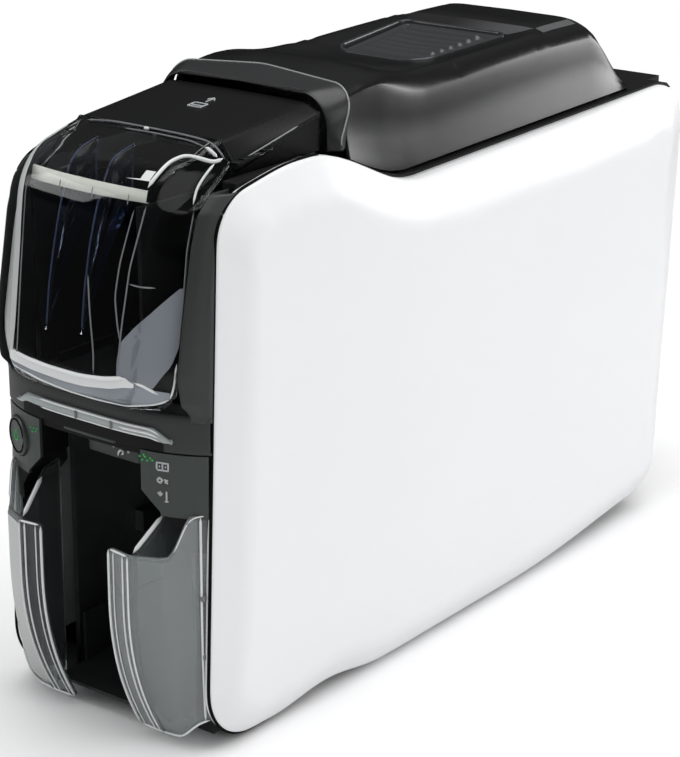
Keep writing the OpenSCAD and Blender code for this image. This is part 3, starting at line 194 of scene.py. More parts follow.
# feeds the shader from a shared group: its colour, its roughness, and its height through a bump
def dress(tree, bsdf, group, values, strength, distance):
    g = addNode(tree, "Group", values, node_tree=group).outputs
    values = {"Strength": strength, "Distance": distance, "Height": g["Height"]}
    bump = addNode(tree, "Bump", values).outputs["Normal"]
    setInputs(tree, bsdf, {"Base Color": g["Color"], "Roughness": g["Roughness"], "Normal": bump})


def plastic(name, colour, rough, roughDrift, drift, scale, height, coat=0.0, coatRough=0.1, specular=0.5,
            glow=None):
    m, tree, bsdf, out = newMaterial(name)
    values = {"Scale": scale, "Base": (*colour, 1), "Drift": drift, "Rough": rough, "Rough Drift": roughDrift}
    dress(tree, bsdf, grain, values, height, 0.0002)
    setInputs(tree, bsdf, {"Coat Weight": coat, "Coat Roughness": coatRough, "Specular IOR Level": specular})
    if glow:
        setInputs(tree, bsdf, {"Emission Color": (*glow[:3], 1), "Emission Strength": glow[3]})
    return m


def metal(name, colour, rough, stretch=(20, 900, 900)):
    m, tree, bsdf, out = newMaterial(name)
    dress(tree, bsdf, brush, {"Stretch": stretch, "Base": (*colour, 1), "Rough": rough}, 0.08, 0.0001)
    bsdf.inputs["Metallic"].default_value = 1
    return m


# clear plastic: a tint, a faint moulding ripple and faint haze; shadow rays pass straight and tinted, so that
# what lies behind is lit
def clearPlastic(name, colour, rough, ior, ripple, rippleScale, specular=0.5, transmission=1.0):
    m, tree, bsdf, out = newMaterial(name)
    place = addNode(tree, "TexCoord").outputs["Object"]
    waves = addNode(tree, "TexNoise", {"Vector": place, "Scale": rippleScale})
    haze = addNode(tree, "TexNoise", {"Vector": place, "Scale": 30})
    bump = addNode(tree, "Bump", {"Strength": ripple, "Distance": 0.001, "Height": waves.outputs["Fac"]})
    hazy = maths(tree, "MULTIPLY_ADD", haze.outputs["Fac"], 0.04, rough)
    setInputs(tree, bsdf, {"Base Color": (*colour, 1), "Roughness": hazy, "Normal": bump.outputs["Normal"],
                           "Transmission Weight": transmission, "Specular IOR Level": specular, "IOR": ior})
    through = addNode(tree, "BsdfTransparent", {"Color": (*[c ** 0.5 for c in colour], 1)})
    shadow = addNode(tree, "LightPath").outputs["Is Shadow Ray"]
    both = addNode(tree, "MixShader", {0: shadow, 1: bsdf.outputs[0], 2: through.outputs[0]})
    setInputs(tree, out, {"Surface": both.outputs[0]})
    return m


# colour, roughness, its drift, colour drift, grain scale, grain height; then, where they aren't the usual
# ones, coat, coat roughness, specular level, glow colour and strength
plastics = {
    "panelWhite": ((0.86, 0.865, 0.875), 0.36, 0.05, 0.015, 1400, 0.05),
    "coverBlack": ((0.007, 0.0073, 0.0078), 0.24, 0.04, 0.2, 1300, 0.10, 0, 0.1, 0.42),
    "glossBlack": ((0.007, 0.007, 0.008), 0.16, 0.05, 0.1, 700, 0.02, 0.5, 0.05),
    "hopperBlack": ((0.005, 0.0052, 0.0058), 0.28, 0.05, 0.2, 1300, 0.03, 0, 0.1, 0.32),
    "archGrey": ((0.020, 0.021, 0.022), 0.33, 0.06, 0.12, 1100, 0.1, 0.25, 0.2),
    "charcoal": ((0.032, 0.036, 0.035), 0.45, 0.06, 0.12, 1200, 0.22),
    "controlGrey": ((0.042, 0.052, 0.047), 0.38, 0.06, 0.12, 1200, 0.18),
    "darkPlain": ((0.004, 0.004, 0.0045), 0.6, 0.05, 0.2, 1400, 0.04, 0, 0.1, 0.3),
    "trayDark": ((0.017, 0.018, 0.018), 0.4, 0.08, 0.15, 1000, 0.2),
    "latchGrey": ((0.034, 0.036, 0.039), 0.24, 0.06, 0.15, 1000, 0.1, 0.3, 0.15),
    "rubberBlack": ((0.014, 0.014, 0.014), 0.72, 0.1, 0.2, 1600, 0.5),
    "spoolGrey": ((0.25, 0.26, 0.28), 0.4, 0.05, 0.1, 900, 0.1),
    "ribbonFilm": ((0.012, 0.008, 0.03), 0.14, 0.08, 0.3, 300, 0.05, 0.5, 0.05),
    "gearWhite": ((0.72, 0.71, 0.66), 0.35, 0.06, 0.06, 1200, 0.1),
    "stickyBlue": ((0.02, 0.07, 0.4), 0.2, 0.05, 0.1, 500, 0.1),
    "boardGreen": ((0.01, 0.11, 0.04), 0.28, 0.1, 0.35, 350, 0.25, 0.3, 0.1),
    "headBlack": ((0.02, 0.02, 0.022), 0.32, 0.05, 0.15, 1200, 0.1),
    "iconPale": ((0.42, 0.44, 0.45), 0.4, 0.05, 0.1, 1500, 0.05),
    "ledGreen": ((0.02, 0.22, 0.05), 0.3, 0.05, 0.3, 500, 0.05, 0, 0.1, 0.5, (0.03, 0.5, 0.1, 0.25)),
    "lightGuide": ((0.34, 0.37, 0.37), 0.2, 0.08, 0.35, 90, 0.1, 0.6, 0.05),
    "stripPale": ((0.84, 0.84, 0.74), 0.4, 0.05, 0.12, 500, 0.05),
    # painted highlight along black edges
    "beadPale": ((0.30, 0.31, 0.31), 0.2, 0.05, 0.1, 900, 0.05, 0.3, 0.1),
    # painted highlights, also the pale colour of the card tab's mark
    "edgeBright": ((0.74, 0.76, 0.76), 0.25, 0.05, 0.1, 900, 0.05, 0.3, 0.1),
    # soft painted highlights on the door, also the grey of small real lines, ticks and clips
    "edgeSoft": ((0.17, 0.18, 0.19), 0.3, 0.05, 0.2, 700, 0.05, 0.2, 0.1),
    # painted light: the door's bright left band and the left wing's sheen
    "bandPale": ((0.50, 0.525, 0.515), 0.3, 0.06, 0.25, 120, 0.1, 0.3, 0.1),
    # painted light in the door's wedge
    "wedgeBlue": ((0.19, 0.21, 0.235), 0.3, 0.06, 0.5, 60, 0.1, 0.3, 0.1),
    "finEdge": ((0.045, 0.06, 0.12), 0.3, 0.05, 0.3, 300, 0.05, 0.2, 0.1),
    # painted light along the door's lip
    "lipMix": ((0.24, 0.27, 0.30), 0.25, 0.08, 1.6, 400, 0.1, 0.5, 0.05),
    # painted sheen: lighter copies of the cover's black for the raised block's faces
    "blockEnd": ((0.10, 0.102, 0.105), 0.3, 0.05, 0.3, 900, 0.08),
    "blockFront": ((0.012, 0.012, 0.013), 0.3, 0.05, 0.2, 1000, 0.08),
    "seamBlack": ((0.003, 0.003, 0.003), 0.7, 0.05, 0.2, 1400, 0.04, 0, 0.1, 0.1),
}
# colour, roughness and, where it isn't the usual one, the stretch of its brush lines
metals = {
    "zinc": ((0.58, 0.59, 0.6), 0.28),
    "ground": ((0.62, 0.62, 0.64), 0.16, (900, 25, 25)),
    "brass": ((0.72, 0.5, 0.19), 0.25),
}
# colour, roughness, index of refraction, ripple, ripple scale, specular level, transmission
clears = {
    "doorClear": ((0.72, 0.74, 0.75), 0.0, 1.3, 0.01, 30, 0.2),
    "finBlue": ((0.35, 0.42, 0.62), 0.05, 1.49, 0.02, 40),
    "wingWindow": ((0.60, 0.66, 0.66), 0.01, 1.35, 0.01, 20, 0.3, 0.96),
    "wingClear": ((0.66, 0.70, 0.70), 0.03, 1.4, 0.01, 20, 0.4, 0.8),
}
makers = ((plastic, plastics), (metal, metals), (clearPlastic, clears))
mats = {name: make(name, *values) for make, finishes in makers for name, values in finishes.items()}


# the raised block's front slope turns from black at the left to satin grey at the right, by x: painted sheen
def paintBlockFrontSheen():
    tree = mats["blockFront"].node_tree
    bsdf = tree.nodes["Principled BSDF"]
    x = addNode(tree, "SeparateXYZ", {0: addNode(tree, "TexCoord").outputs["Object"]}).outputs["X"]
    ramp = addNode(tree, "MapRange", {"Value": x, "From Min": -0.012, "From Max": 0.03},
                   interpolation_type="SMOOTHSTEP")
    black = bsdf.inputs["Base Color"].links[0].from_socket
    blend = addNode(tree, "Mix", {"Factor": ramp.outputs["Result"], "A": black, "B": (0.075, 0.077, 0.08, 1)},
                    data_type="RGBA")
    setInputs(tree, bsdf, {"Base Color": blend.outputs["Result"]})


paintBlockFrontSheen()

# the solids of the frame by finish, also those that a finer piece stands for
nodeLook = {
    "panelWhite": ["left_side_panel", "right_side_panel"],
    "charcoal": ["front_bezel"],
    "controlGrey": ["left_control_panel", "right_control_panel", "exit_tab", "power_button"],
    "lightGuide": ["light_bar"],
    "wingClear": ["left_wing", "right_wing"],
    "trayDark": ["output_tray"],
    "darkPlain": ["base_pan", "lower_front_frame", "card_hopper", "card_path", "exit_chute", "top_deck",
                  "rear_panel", "card_weight"],
    "zinc": ["left_frame", "right_frame", "cross_bars", "usb_socket", "lan_socket", "drive_motor",
             "housing_screws", "printhead_bracket", "latch_spring", "latch_hooks"],
    "ground": ["pick_shaft", "front_feed_shaft", "platen_shaft", "rear_feed_shaft", "front_pinch_roller",
               "rear_pinch_roller", "lid_hinge_pins"],
    "rubberBlack": ["rubber_feet", "drive_belts", "pick_rubbers", "front_feed_rubbers", "platen_rubber",
                    "rear_feed_rubbers"],
    "boardGreen": ["main_board"],
    "glossBlack": ["dc_jack"],
    "ribbonFilm": ["ribbon_film", "takeup_roll", "supply_roll"],
    "gearWhite": ["platen_gear", "idler_gear"],
    "brass": ["motor_pinion"],
    "stickyBlue": ["cleaning_roller"],
    "spoolGrey": ["takeup_spool", "supply_spool"],
    "coverBlack": ["top_cover"],
    "archGrey": ["arch_trim"],
    "headBlack": ["printhead"],
    "latchGrey": ["latch_button"],
    "hopperBlack": ["hopper_top_cover"],
    "doorClear": ["front_door"],
    "finBlue": ["door_ribs"],
}
for look, names in nodeLook.items():
    for name in names:
        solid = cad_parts[name].data
        solid.materials.clear()
        solid.materials.append(mats[look])
print("materials set")


# mesh of points in millimetres; faces are one array, or a list of arrays where their corners differ in number
def newObject(name, verts, faces, body, look):
    sets = faces if isinstance(faces, list) else [faces]
    corners = np.concatenate([f.ravel() for f in sets])
    sizes = np.concatenate([np.full(len(f), f.shape[1]) for f in sets])
    verts = np.asarray(verts, float).reshape(-1, 3) * 0.001
    mesh = bpy.data.meshes.new(name)
    mesh.vertices.add(len(verts))
    mesh.vertices.foreach_set("co", verts.ravel())
    mesh.loops.add(len(corners))
    mesh.loops.foreach_set("vertex_index", corners)
    mesh.polygons.add(len(sizes))
    mesh.polygons.foreach_set("loop_start", np.cumsum(sizes) - sizes)
    mesh.polygons.foreach_set("loop_total", sizes)
    mesh.update(calc_edges=True)
    mesh.validate()
    mesh.polygons.foreach_set("use_smooth", np.ones(len(mesh.polygons), bool))
    mesh.materials.append(mats[look])
    obj = bpy.data.objects.new(name, mesh)
    bpy.context.scene.collection.objects.link(obj)
    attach(obj, body)
    return obj


# faces of a grid of rows x columns, closed along either way if asked
def gridFaces(m, n, closeRows=False, closeCols=False):
    i = np.arange(m if closeRows else m - 1)[:, None]
    j = np.arange(n if closeCols else n - 1)[None, :]
    i2, j2 = (i + 1) % m, (j + 1) % n
    return np.stack([i * n + j, i2 * n + j, i2 * n + j2, i * n + j2], -1).reshape(-1, 4)


def thicken(obj, wall):
    mod = obj.modifiers.new("wall", "SOLIDIFY")
    mod.thickness = wall * 0.001
    mod.offset = -1
    mod.use_even_offset = False
    return obj


# a grid of points as a sheet whose faces look away from the point behind; wall gives it thickness
def gridPiece(name, grid, body, slot, look, behind, wall=0.0, closeRows=False, closeCols=False):
    faces = gridFaces(*grid.shape[:2], closeRows, closeCols)
    p = grid.reshape(-1, 3)[faces]
    normal = np.cross(p[:, 1] - p[:, 0], p[:, 2] - p[:, 0])
    if ((p.mean(1) - behind) * normal).sum() < 0:
        faces = faces[:, ::-1]
    obj = newObject(name, grid, faces, body, look)
    return thicken(obj, wall) if wall else obj


# rings of 8 points round a path: p + r (s cos a + t sin a), with s and t square to the path
def ringsRound(path, r):
    d = unit(np.gradient(path, axis=0))
    up = np.where(np.abs(d[:, 2:]) > 0.8, [[0, 1.0, 0]], [[0, 0, 1.0]])
    s = unit(np.cross(d, up))
    t = np.cross(d, s)
    a = np.linspace(0, 2 * math.pi, 8, endpoint=False)[None, :, None]
    return path[:, None] + r * (s[:, None] * np.cos(a) + t[:, None] * np.sin(a))


# one tube of even radius; each end is a fan round the middle of its last ring
def tubePiece(name, path, r, body, slot, look):
    rings = ringsRound(path, r)
    m = len(path)
    verts = np.concatenate([rings.reshape(-1, 3), rings[:1].mean(1), rings[-1:].mean(1)])
    i = np.arange(8)
    j = (i + 1) % 8
    foot = np.stack([np.full(8, m * 8), j, i], 1)
    head = np.stack([np.full(8, m * 8 + 1), m * 8 - 8 + i, m * 8 - 8 + j], 1)
    return newObject(name, verts, [gridFaces(m, 8, False, True)[:, ::-1], foot, head], body, look)


# several tubes as one piece, [path, radius] each; soft is how often each point is averaged with its
# neighbours, and the radius shrinks over the two end rings
def tubeSet(name, lines, body, slot, look, soft=6):
    verts, faces, count = [], [], 0
    for path, r in lines:
        path = evenly(np.asarray(path, float), step=1.2 if soft else 0.15)
        for _ in range(soft):
            path[1:-1] = 0.25 * path[:-2] + 0.5 * path[1:-1] + 0.25 * path[2:]
        order = np.arange(len(path))
        taper = np.clip(np.minimum(order, order[::-1]) / 2, 0.02, 1)[:, None, None]
        verts.append(ringsRound(path, r * taper).reshape(-1, 3))
        faces.append(gridFaces(len(path), 8, False, True)[:, ::-1] + count)
        count += len(path) * 8
    return newObject(name, np.concatenate(verts), np.concatenate(faces), body, look)


# top edge: high in front, an S down to the dip, then a slow rise; it also falls a little at the very front
def panelTop(y):
    c = case
    return (c["bodyH"] + c["frontRise"] * (1 - smooth((y - c["frontY"] - 63) / 80))
            - c["frontFall"] * smooth((c["frontY"] + 55 - y) / 60)
            + c["rearRise"] * np.clip((y - c["frontY"] - 143) / (c["rearY"] - c["frontY"] - 143), 0, 1))


# lower edge: a rounded bump behind the front foot, then a slow rise to the rear
def panelLow(y):
    t = (y - case["frontY"] - 40) / 75
    bump = np.where((t > 0) & (t < 1), (1 - np.cos(2 * np.pi * t)) / 2, 0)
    return 2.5 + 4 * bump + 7 * smooth((y - case["frontY"] - 220) / 151)


# half width of the case over the panels' flat part, drawn in towards both ends
def panelWide(y):
    return (case["sideX"] - 4.5 * smooth((case["frontY"] + 140 - y) / 150)
            - 4 * smooth((y - case["frontY"] - 240) / 160))


# outline of a panel as one loop of [y, z] points, evenly spaced: top edge, rear, lower edge, front; its
# corners are quarter ellipses, the front edge leans and the rear edge draws in at the foot
def panelOutline():
    c = case
    y = np.linspace(c["frontY"], c["rearY"], 1500)
    front, foot = ((c["frontY"] + c[key] - y) / c[key] for key in ("frontCorner", "footCorner"))
    rear = (y - c["rearY"] + c["rearCorner"]) / c["rearCorner"]
    front, foot, rear = (1 - np.sqrt(1 - np.clip(t, 0, 1) ** 2) for t in (front, foot, rear))
    top = panelTop(y) - c["frontCorner"] * front - c["rearCorner"] * rear
    low = panelLow(y) + c["footCorner"] * foot + 14 * rear
    p = np.concatenate([np.stack([y, top], 1), np.stack([y, low], 1)[::-1]])
    leaning = np.clip((c["frontY"] + 120 - p[:, 0]) / 120, 0, 1)
    drawing = np.clip((p[:, 0] - c["rearY"] + 60) / 60, 0, 1)
    p[:, 0] += 0.04 * (p[:, 1] - 60) * leaning - 15 * np.clip((110 - p[:, 1]) / 100, 0, 1) ** 2 * drawing
    return soften(evenly(np.concatenate([p, p[:1]]), 760, endpoint=False), 3)


panel = {"edge": 1.5, "crease": 5.0, "reach": 26.0, "spineY": 12.0, "spineZ": 122.0, "spineHalf": 70.0,
         "flange": 3.0}


# rings run inwards from the outline; each ring is the outline drawn towards a spine inside the panel, its
# depth rising over the bevel's width by a soft-cornered ramp; the rim goes straight in to the case
def sidePanel(side):
    p = panelOutline()
    spineY = np.clip(p[:, 0], panel["spineY"] - panel["spineHalf"], panel["spineY"] + panel["spineHalf"])
    spine = np.stack([spineY, np.full(len(p), panel["spineZ"])], 1)
    d = unit(np.roll(p, -1, 0) - np.roll(p, 1, 0))
    toward = unit(spine - p)
    inward = toward / np.clip(toward[:, 0] * d[:, 1] - toward[:, 1] * d[:, 0], 0.5, 1)[:, None]
    width = case["bevelW"] * (1 + 0.3 * smooth((p[:, 0] + 60) / 60) * smooth((p[:, 1] - 120) / 60))
    width = soften(width * (1 - 0.25 * smooth((60 - p[:, 1]) / 60)), 30)
    k = panel["crease"] / width
    rings = []
    rounding = panel["edge"] * (1 - np.cos(np.linspace(0, math.pi / 2, 7)))
    for depth in (*rounding, *np.linspace(2.2, panel["reach"], 30)):
        q = p + inward * depth
        t = depth / width
        ramp = np.where(t < 1 - k, t, np.where(t > 1 + k, 1, 1 - (1 + k - t) ** 2 / (4 * k)))
        e = max(0, (panel["edge"] - depth) / panel["edge"])
        x = panelWide(q[:, 0]) - case["bevelX"] * (1 - ramp) - panel["edge"] * (1 - math.sqrt(1 - e * e))
        rings.append(gridOf(x, q[:, 0], q[:, 1]))
    for t in np.linspace(0, 1, 26)[1:]:
        q = mix(p + inward * panel["reach"], spine, t)
        rings.append(gridOf(panelWide(q[:, 0]), q[:, 0], q[:, 1]))
    flange = p + inward * panel["flange"]
    rim = [gridOf(mix(rings[0][:, 0], case["panelIn"], t), p[:, 0], p[:, 1]) for t in (1.0, 0.4)]
    grid = np.stack([gridOf(case["panelIn"], flange[:, 0], flange[:, 1])] + rim + rings, 0) * (side, 1, 1)
    name = "left_side_panel" if side < 0 else "right_side_panel"
    obj = gridPiece(name + "_skin", grid, "case", "panel_white", "panelWhite", (0, 12, 120), closeCols=True)
    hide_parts(name)


for side in (-1, 1):
    sidePanel(side)
print("side panels made")

lid = {"front": -78.0, "rear": 156.0, "half": 52.0, "edge": 2.5, "wall": 2.4, "lean": 6.0}
# along the cover: distance behind its front edge, then shoulder, plateau and crown over the top's height
lidHeights = np.array([
    [0, -5, -3, 1], [14, -3, -1, 2.3], [28, -2.3, 0, 3], [34, -4, -0.3, 2.4], [40, -6.3, -1, 0.6],
    [47, -8.6, -2.2, -2.2], [53, -10.2, -3, -4.5], [61, -11.3, -3.6, -6], [73, -11, -3.8, -6.8],
    [91, -10.2, -3.8, -7], [121, -8.5, -3, -5], [152, -7.8, -2.2, -2.7], [161, -7.6, -2, -1.9],
    [168, -7.6, -1.8, -0.8], [176, -7.7, -1.4, 0], [196, -8, -1.4, 0], [234, -8, -1.4, 0]])
latch = {"y": 13.0, "long": 61.0, "front": 24.0, "rear": 29.0, "z": 263.5, "slope": 4.5, "gap": 1.3,
         "ribs": 6, "ribStep": 6.8, "ribStart": 14.0, "ribHigh": 2.3, "wall": 1.6, "cells": 14}


# share of the fall to the foot at the cover's rear end
def lidTail(y):
    return smooth((y - lid["rear"] + 34) / 40)


def lidLow(y):
    return panelTop(y) + lid["edge"]


# height of line k at y: a table value, softened over 3 mm each way, then drawn down to the foot at the rear
def lidLine(y, k, foot):
    f = y - lid["front"]
    v = sum(np.interp(f + d, lidHeights[:, 0], lidHeights[:, k]) for d in np.linspace(-3, 3, 7)) / 7
    return mix(case["lidTop"] + v, lidLow(lid["rear"]) + foot, lidTail(y))


# share of the backward lean at height z
def leanShare(z):
    return np.clip((z - case["lidTop"] + 22) / 24, 0, 1)


# half width of the latch outline at distance d from its front end: a taper with rounded ends
def latchHalf(d, grow):
    v = d / latch["long"]
    r = mix(9.0, 5.0, v)
    e = np.clip((np.minimum(d, latch["long"] - d) + grow) / (r + grow), 0, 1)
    return mix(latch["front"], latch["rear"], v) + grow - (r + grow) * (1 - np.sqrt(1 - (1 - e) ** 2))


# right half of the cover's cross-sections at y: control points from the foot over the shoulder to the crown,
# corners cut until smooth
def lidSections(y):
    low, shoulder, plateau, crown = lidLow(y), lidLine(y, 1, 2), lidLine(y, 2, 3), lidLine(y, 3, 3)
    h, half = shoulder - low, lid["half"]
    hump = smooth((y - lid["front"] - 160) / 10) * (1 - lidTail(y))
    leaning = ((0, 0), (0.3, 0.06), (1.2, 0.22), (2.7, 0.5), (3.6, 0.8), (4.2, 0.96))
    side = [(half - x, y, low + share * h) for x, share in leaning]
    return cutCorners(rowsOf(side + [
        (half - 4.8, y, shoulder + 0.1), (half - 5.6, y, mix(shoulder, plateau, 0.28)),
        (half - 7.5 - 2 * hump, y, mix(shoulder, plateau, 0.72)),
        (half - 9.4 - 4.6 * hump, y, mix(shoulder, plateau, 0.97)),
        (half - 11 - 5 * hump, y, plateau + 0.5 * hump),
        (half - 22, y, mix(plateau, crown, 0.6 + 0.3 * hump)), (half - 32, y, mix(plateau, crown, 0.93)),
        (half - 42, y, crown), (0, y, crown + 0.1)]), 3)


# the flat part of the sections is set out again on columns that follow the latch opening, whose faces are
# left away: from the middle to the opening's edge, then out to the section's own points from number 46 on
def topCover():
    g, cells, keep = latch["gap"], latch["cells"], 46
    y0, y1 = latch["y"] - g, latch["y"] + latch["long"] + g
    quarter = math.pi / 2
    spans = ((lid["front"], y0 - 8, 90), (y0 - 7.4, y0 - 0.6, 12), (y0 + 21.2, y1 - 15, 22),
             (y1 + 0.6, y1 + 7.4, 12), (y1 + 8, lid["rear"] - 36, 40), (lid["rear"] - 35, lid["rear"], 44))
    y = np.sort(np.concatenate([np.linspace(*span) for span in spans] + [
        y0 + 20 * (1 - np.cos(np.linspace(0, 1, 26) * quarter)),
        y1 - 14 + 14 * np.sin(np.linspace(0, 1, 22) * quarter)]))
    right = lidSections(y)
    inside = (y >= y0 - 0.01) & (y <= y1 + 0.01)
    ends = latchHalf(-g, g), latchHalf(latch["long"] + g, g)
    edge = np.interp(y, [y0 - 16, y0, y1, y1 + 16], [27, *ends, 31])
    edge = np.where(inside, latchHalf(np.clip(y, y0, y1) - latch["y"], g), edge)[:, None]
    outside = mix(edge, right[:, keep, :1], np.linspace(0, 1, 8)[1:])
    x = np.concatenate([edge * np.linspace(0, 1, cells + 1), outside], 1)
    z = np.stack([np.interp(-across, -row[:, 0], row[:, 2]) for across, row in zip(x, right)])
    x, z = (np.concatenate([flat, right[:, keep - 1::-1, k]], 1) for flat, k in ((x, 0), (z, 2)))
    fade = 1 - smooth((y - lid["front"]) / 28)[:, None]
    grid = gridOf(x, y[:, None] + fade * lid["lean"] * leanShare(z), z)
    grid = np.concatenate([(grid * (-1, 1, 1))[:, :0:-1], grid], 1)
    n = grid.shape[1]
    faces = gridFaces(len(grid), n)
    row, column = np.divmod(faces[:, 0], n)
    first, last = np.nonzero(inside)[0][[0, -1]]
    hole = (row >= first) & (row < last) & (abs(column - n // 2 + 0.5) < cells)
    obj = newObject("top_cover_skin", grid, faces[~hole][:, ::-1], "lid", "coverBlack")
    thicken(obj, lid["wall"])
    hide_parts("top_cover")
    coverBlockSheen(y, grid)
    a, b = n // 2 - cells, n // 2 + cells
    latchRim(np.concatenate([grid[first, a:b], grid[first:last, b], grid[last, b:a:-1],
                             grid[last:first:-1, a]]))


# the raised block's lit faces as painted sheen, lighter copies of the cover's black: its front slope and its
# two end bevels, laid 0.1 mm over the cover's grid
def coverBlockSheen(y, grid):
    for key, y0, y1, x0, x1, look in (("front", 75, 91, -33, 34, "blockFront"),
                                      ("right", 91, 121, 33.5, 41, "blockEnd"),
                                      ("left", 91, 121, -41, -33.5, "blockEnd")):
        face = grid[(y >= y0) & (y <= y1)]
        face = face[:, (face[0, :, 0] >= x0) & (face[0, :, 0] <= x1)] + (0, 0, 0.1)
        gridPiece("cover_block_" + key, face, "lid", "cover_black", look, (0, 90, 200))


# a section of [out, up] points swept round the opening, from a low fillet over the crest into the pocket
def latchRim(loop):
    d = np.roll(loop, -1, 0) - np.roll(loop, 1, 0)
    out = soften(unit(gridOf(d[:, 1], -d[:, 0], 0)), 4)
    section = [(1.5, -0.2), (1.3, 0.35), (0.9, 0.75), (0.4, 0.95), (0.0, 0.85), (-0.3, 0.4), (-0.4, -0.3),
               (-0.4, -9)]
    rim = np.stack([loop + out * a + (0, 0, b) for a, b in section], 0)
    gridPiece("latch_rim", rim, "lid", "arch_grey", "latchGrey", (0, 43, 262), closeCols=True)


topCover()

# the arch's lines from its inner edge over the band and the rounded outer rim to the fall behind: half width,
# height under the top, rise of the crown, corner radius, y, and how far it leans back
arch = {"foot": -88.0, "wall": 1.2, "bead": 0.42, "crown": 60.0,
        "lines": [(46.9, -3.6, 0.4, 15, -86.6, 0), (47.2, -3.1, 0.5, 15, -88.0, 0.2),
                  (47.8, -2.8, 1.0, 14.6, -87.9, 2.0), (49.4, -2.1, 2.4, 13.4, -86.0, 5.6),
                  (50.7, -1.6, 3.5, 12.4, -84.2, 9.0), (51.2, -1.3, 3.8, 12.1, -83.2, 10.4),
                  (51.3, -1.4, 3.8, 12, -82.2, 10.4), (51.1, -1.8, 3.7, 11.8, -81.0, 9.6),
                  (50.2, -3.0, 3.2, 11.4, -78.2, 6.4)],
        "beadLine": (51.35, -1.2, 3.8, 12.1, -82.9, 10.6)}


# each line is a half arch with a crowned top in front view, and leans back with its height
def archLine(w, down, rise, r, y, bow):
    z, foot = case["lidTop"] + down, lidLow(arch["foot"])
    p = filletPath([(-w, foot), (-w, z), (0, z + rise), (w, z), (w, foot)], [0, r, arch["crown"], r, 0], 170)
    return gridOf(p[:, 0], y + bow * leanShare(p[:, 1]), p[:, 1])


def archTrim():
    grid = cutCorners(np.stack([archLine(*line) for line in arch["lines"]], 1), 2)
    obj = gridPiece("arch_trim_skin", grid, "lid", "arch_grey", "archGrey", (0, -82, 225), arch["wall"])
    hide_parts("arch_trim")
    # the bead along the outer rim is a pale tube: painted highlight
    tubePiece("arch_bead", archLine(*arch["beadLine"])[3:-3], arch["bead"], "lid", "arch_grey", "beadPale")


archTrim()


# latch button: rows between two sides with rounded ends, dished, with a raised lip and louvre-like ribs
def latchButton():
    t = np.linspace(0, 1, 300)
    d = np.clip(latch["long"] * mix(t, 0.5 - 0.5 * np.cos(np.pi * t), 0.5), 0.05, latch["long"] - 0.05)
    v = d[:, None] / latch["long"]
    s = np.linspace(-1, 1, 81)
    start, step = latch["ribStart"], latch["ribStep"]
    phase = ((d - start) / step) % 1
    on = smooth((d - start + 0.5) / 1.5) * smooth((start + step * latch["ribs"] - d) / 1.5)
    rib = latch["ribHigh"] * (smooth(phase / 0.8) - smooth((phase - 0.84) / 0.16)) * on
    ribs = rib[:, None] * smooth((0.86 - np.abs(s)) / 0.2)
    dish = -1.7 * (1 - s ** 2) * np.sin(np.pi * v)
    border = np.minimum((1 - np.abs(s)) * 26, np.minimum(d, latch["long"] - d)[:, None])
    lip = 0.9 * (1 - smooth(border / 2.2)) - 1.2 * (1 - np.sqrt(1 - (1 - np.clip(border / 0.8, 0, 1)) ** 2))
    z = latch["z"] + 0.2 + latch["slope"] * v + dish + ribs + lip
    grid = gridOf((latchHalf(d, 0) - 0.2)[:, None] * s, latch["y"] + d[:, None], z)
    obj = gridPiece("latch_button_skin", grid, "latch", "button_grey", "latchGrey", (0, 43, 200),
                    latch["wall"])
    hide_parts("latch_button")


latchButton()
print("top cover made")

hopper = {"front": -147.0, "rear": -90.0, "z": 259.5, "climb": 6.0, "half": 45.7, "top": 37.0, "low": 246.0,
          "wall": 2.4}


# height of the hopper cover's top at y
def hopperTop(y):
    return hopper["z"] + hopper["climb"] * (y - hopper["front"]) / (hopper["rear"] - hopper["front"])


# sections along y: upright side, a bevel that drops less towards the rear, and a slightly crowned top
def hopperCover():
    y = np.linspace(hopper["front"], hopper["rear"], 40)
    z, drop = hopperTop(y), np.linspace(9.4, 3.4, 40)
    w, t, low = hopper["half"], hopper["top"], hopper["low"]
    right = rowsOf([(w, y, low), (w, y, low + 2), (w, y, mix(low, z, 0.5)), (w, y, z - drop - 1.2),
                    (w - 0.2, y, z - drop), (w - 1.2, y, z - drop * 0.83), (t + 2.8, y, z - drop * 0.21),
                    (t + 1.6, y, z - drop * 0.07), (t, y, z - 0.05), (t - 3, y, z + 0.1),
                    (t - 14, y, z + 0.35), (0, y, z + 0.5)])
    obj = gridPiece("hopper_cover_skin", cutCorners(bothHalves(right), 2), "hopper_cover", "cover_black",
                    "hopperBlack", (0, -118, 200), hopper["wall"])
    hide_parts("hopper_top_cover")
    # pale tubes along both shoulder edges: painted highlights
    beads = [(gridOf(side * (w - 0.25), y, z - drop + 0.1)[:30], 0.32) for side in (-1, 1)]
    tubeSet("hopper_cover_beads", beads, "hopper_cover", "cover_black", "beadPale")
    # small sign on the top: a card and an arrow that points into the hopper
    card = [[(-4, -113), (3, -113), (3, -118), (-4, -118), (-4, -113)], [(-4, -116), (3, -116)]]
    arrow = [[(0, -111), (0, -105)], [(-2, -107.6), (0, -105), (2, -107.6)]]
    sign = [([(x, b, hopperTop(b) + 0.6) for x, b in line], 0.38) for line in card + arrow]
    tubeSet("hopper_cover_sign", sign, "hopper_cover", "panel_white", "iconPale", 0)


hopperCover()

# side view of the door as [y, z], from the lip over the roll to the top
doorPath = filletPath([(-195, 155), (-201.6, 160), (-190, 250.5), (-147.4, 259.5)], [0, 5, 24, 0], 110)
doorPlace = ("hopper_cover", "smoked_clear")


# half width of the door at height z
def doorWide(z):
    return np.interp(z, [155, 160, 167, 177, 219.5, 243.5, 249.5, 251.2, 258.3, 259.5],
                     [40, 45, 48.8, 50, 49, 45.8, 45, 44.4, 39.6, 37.8])


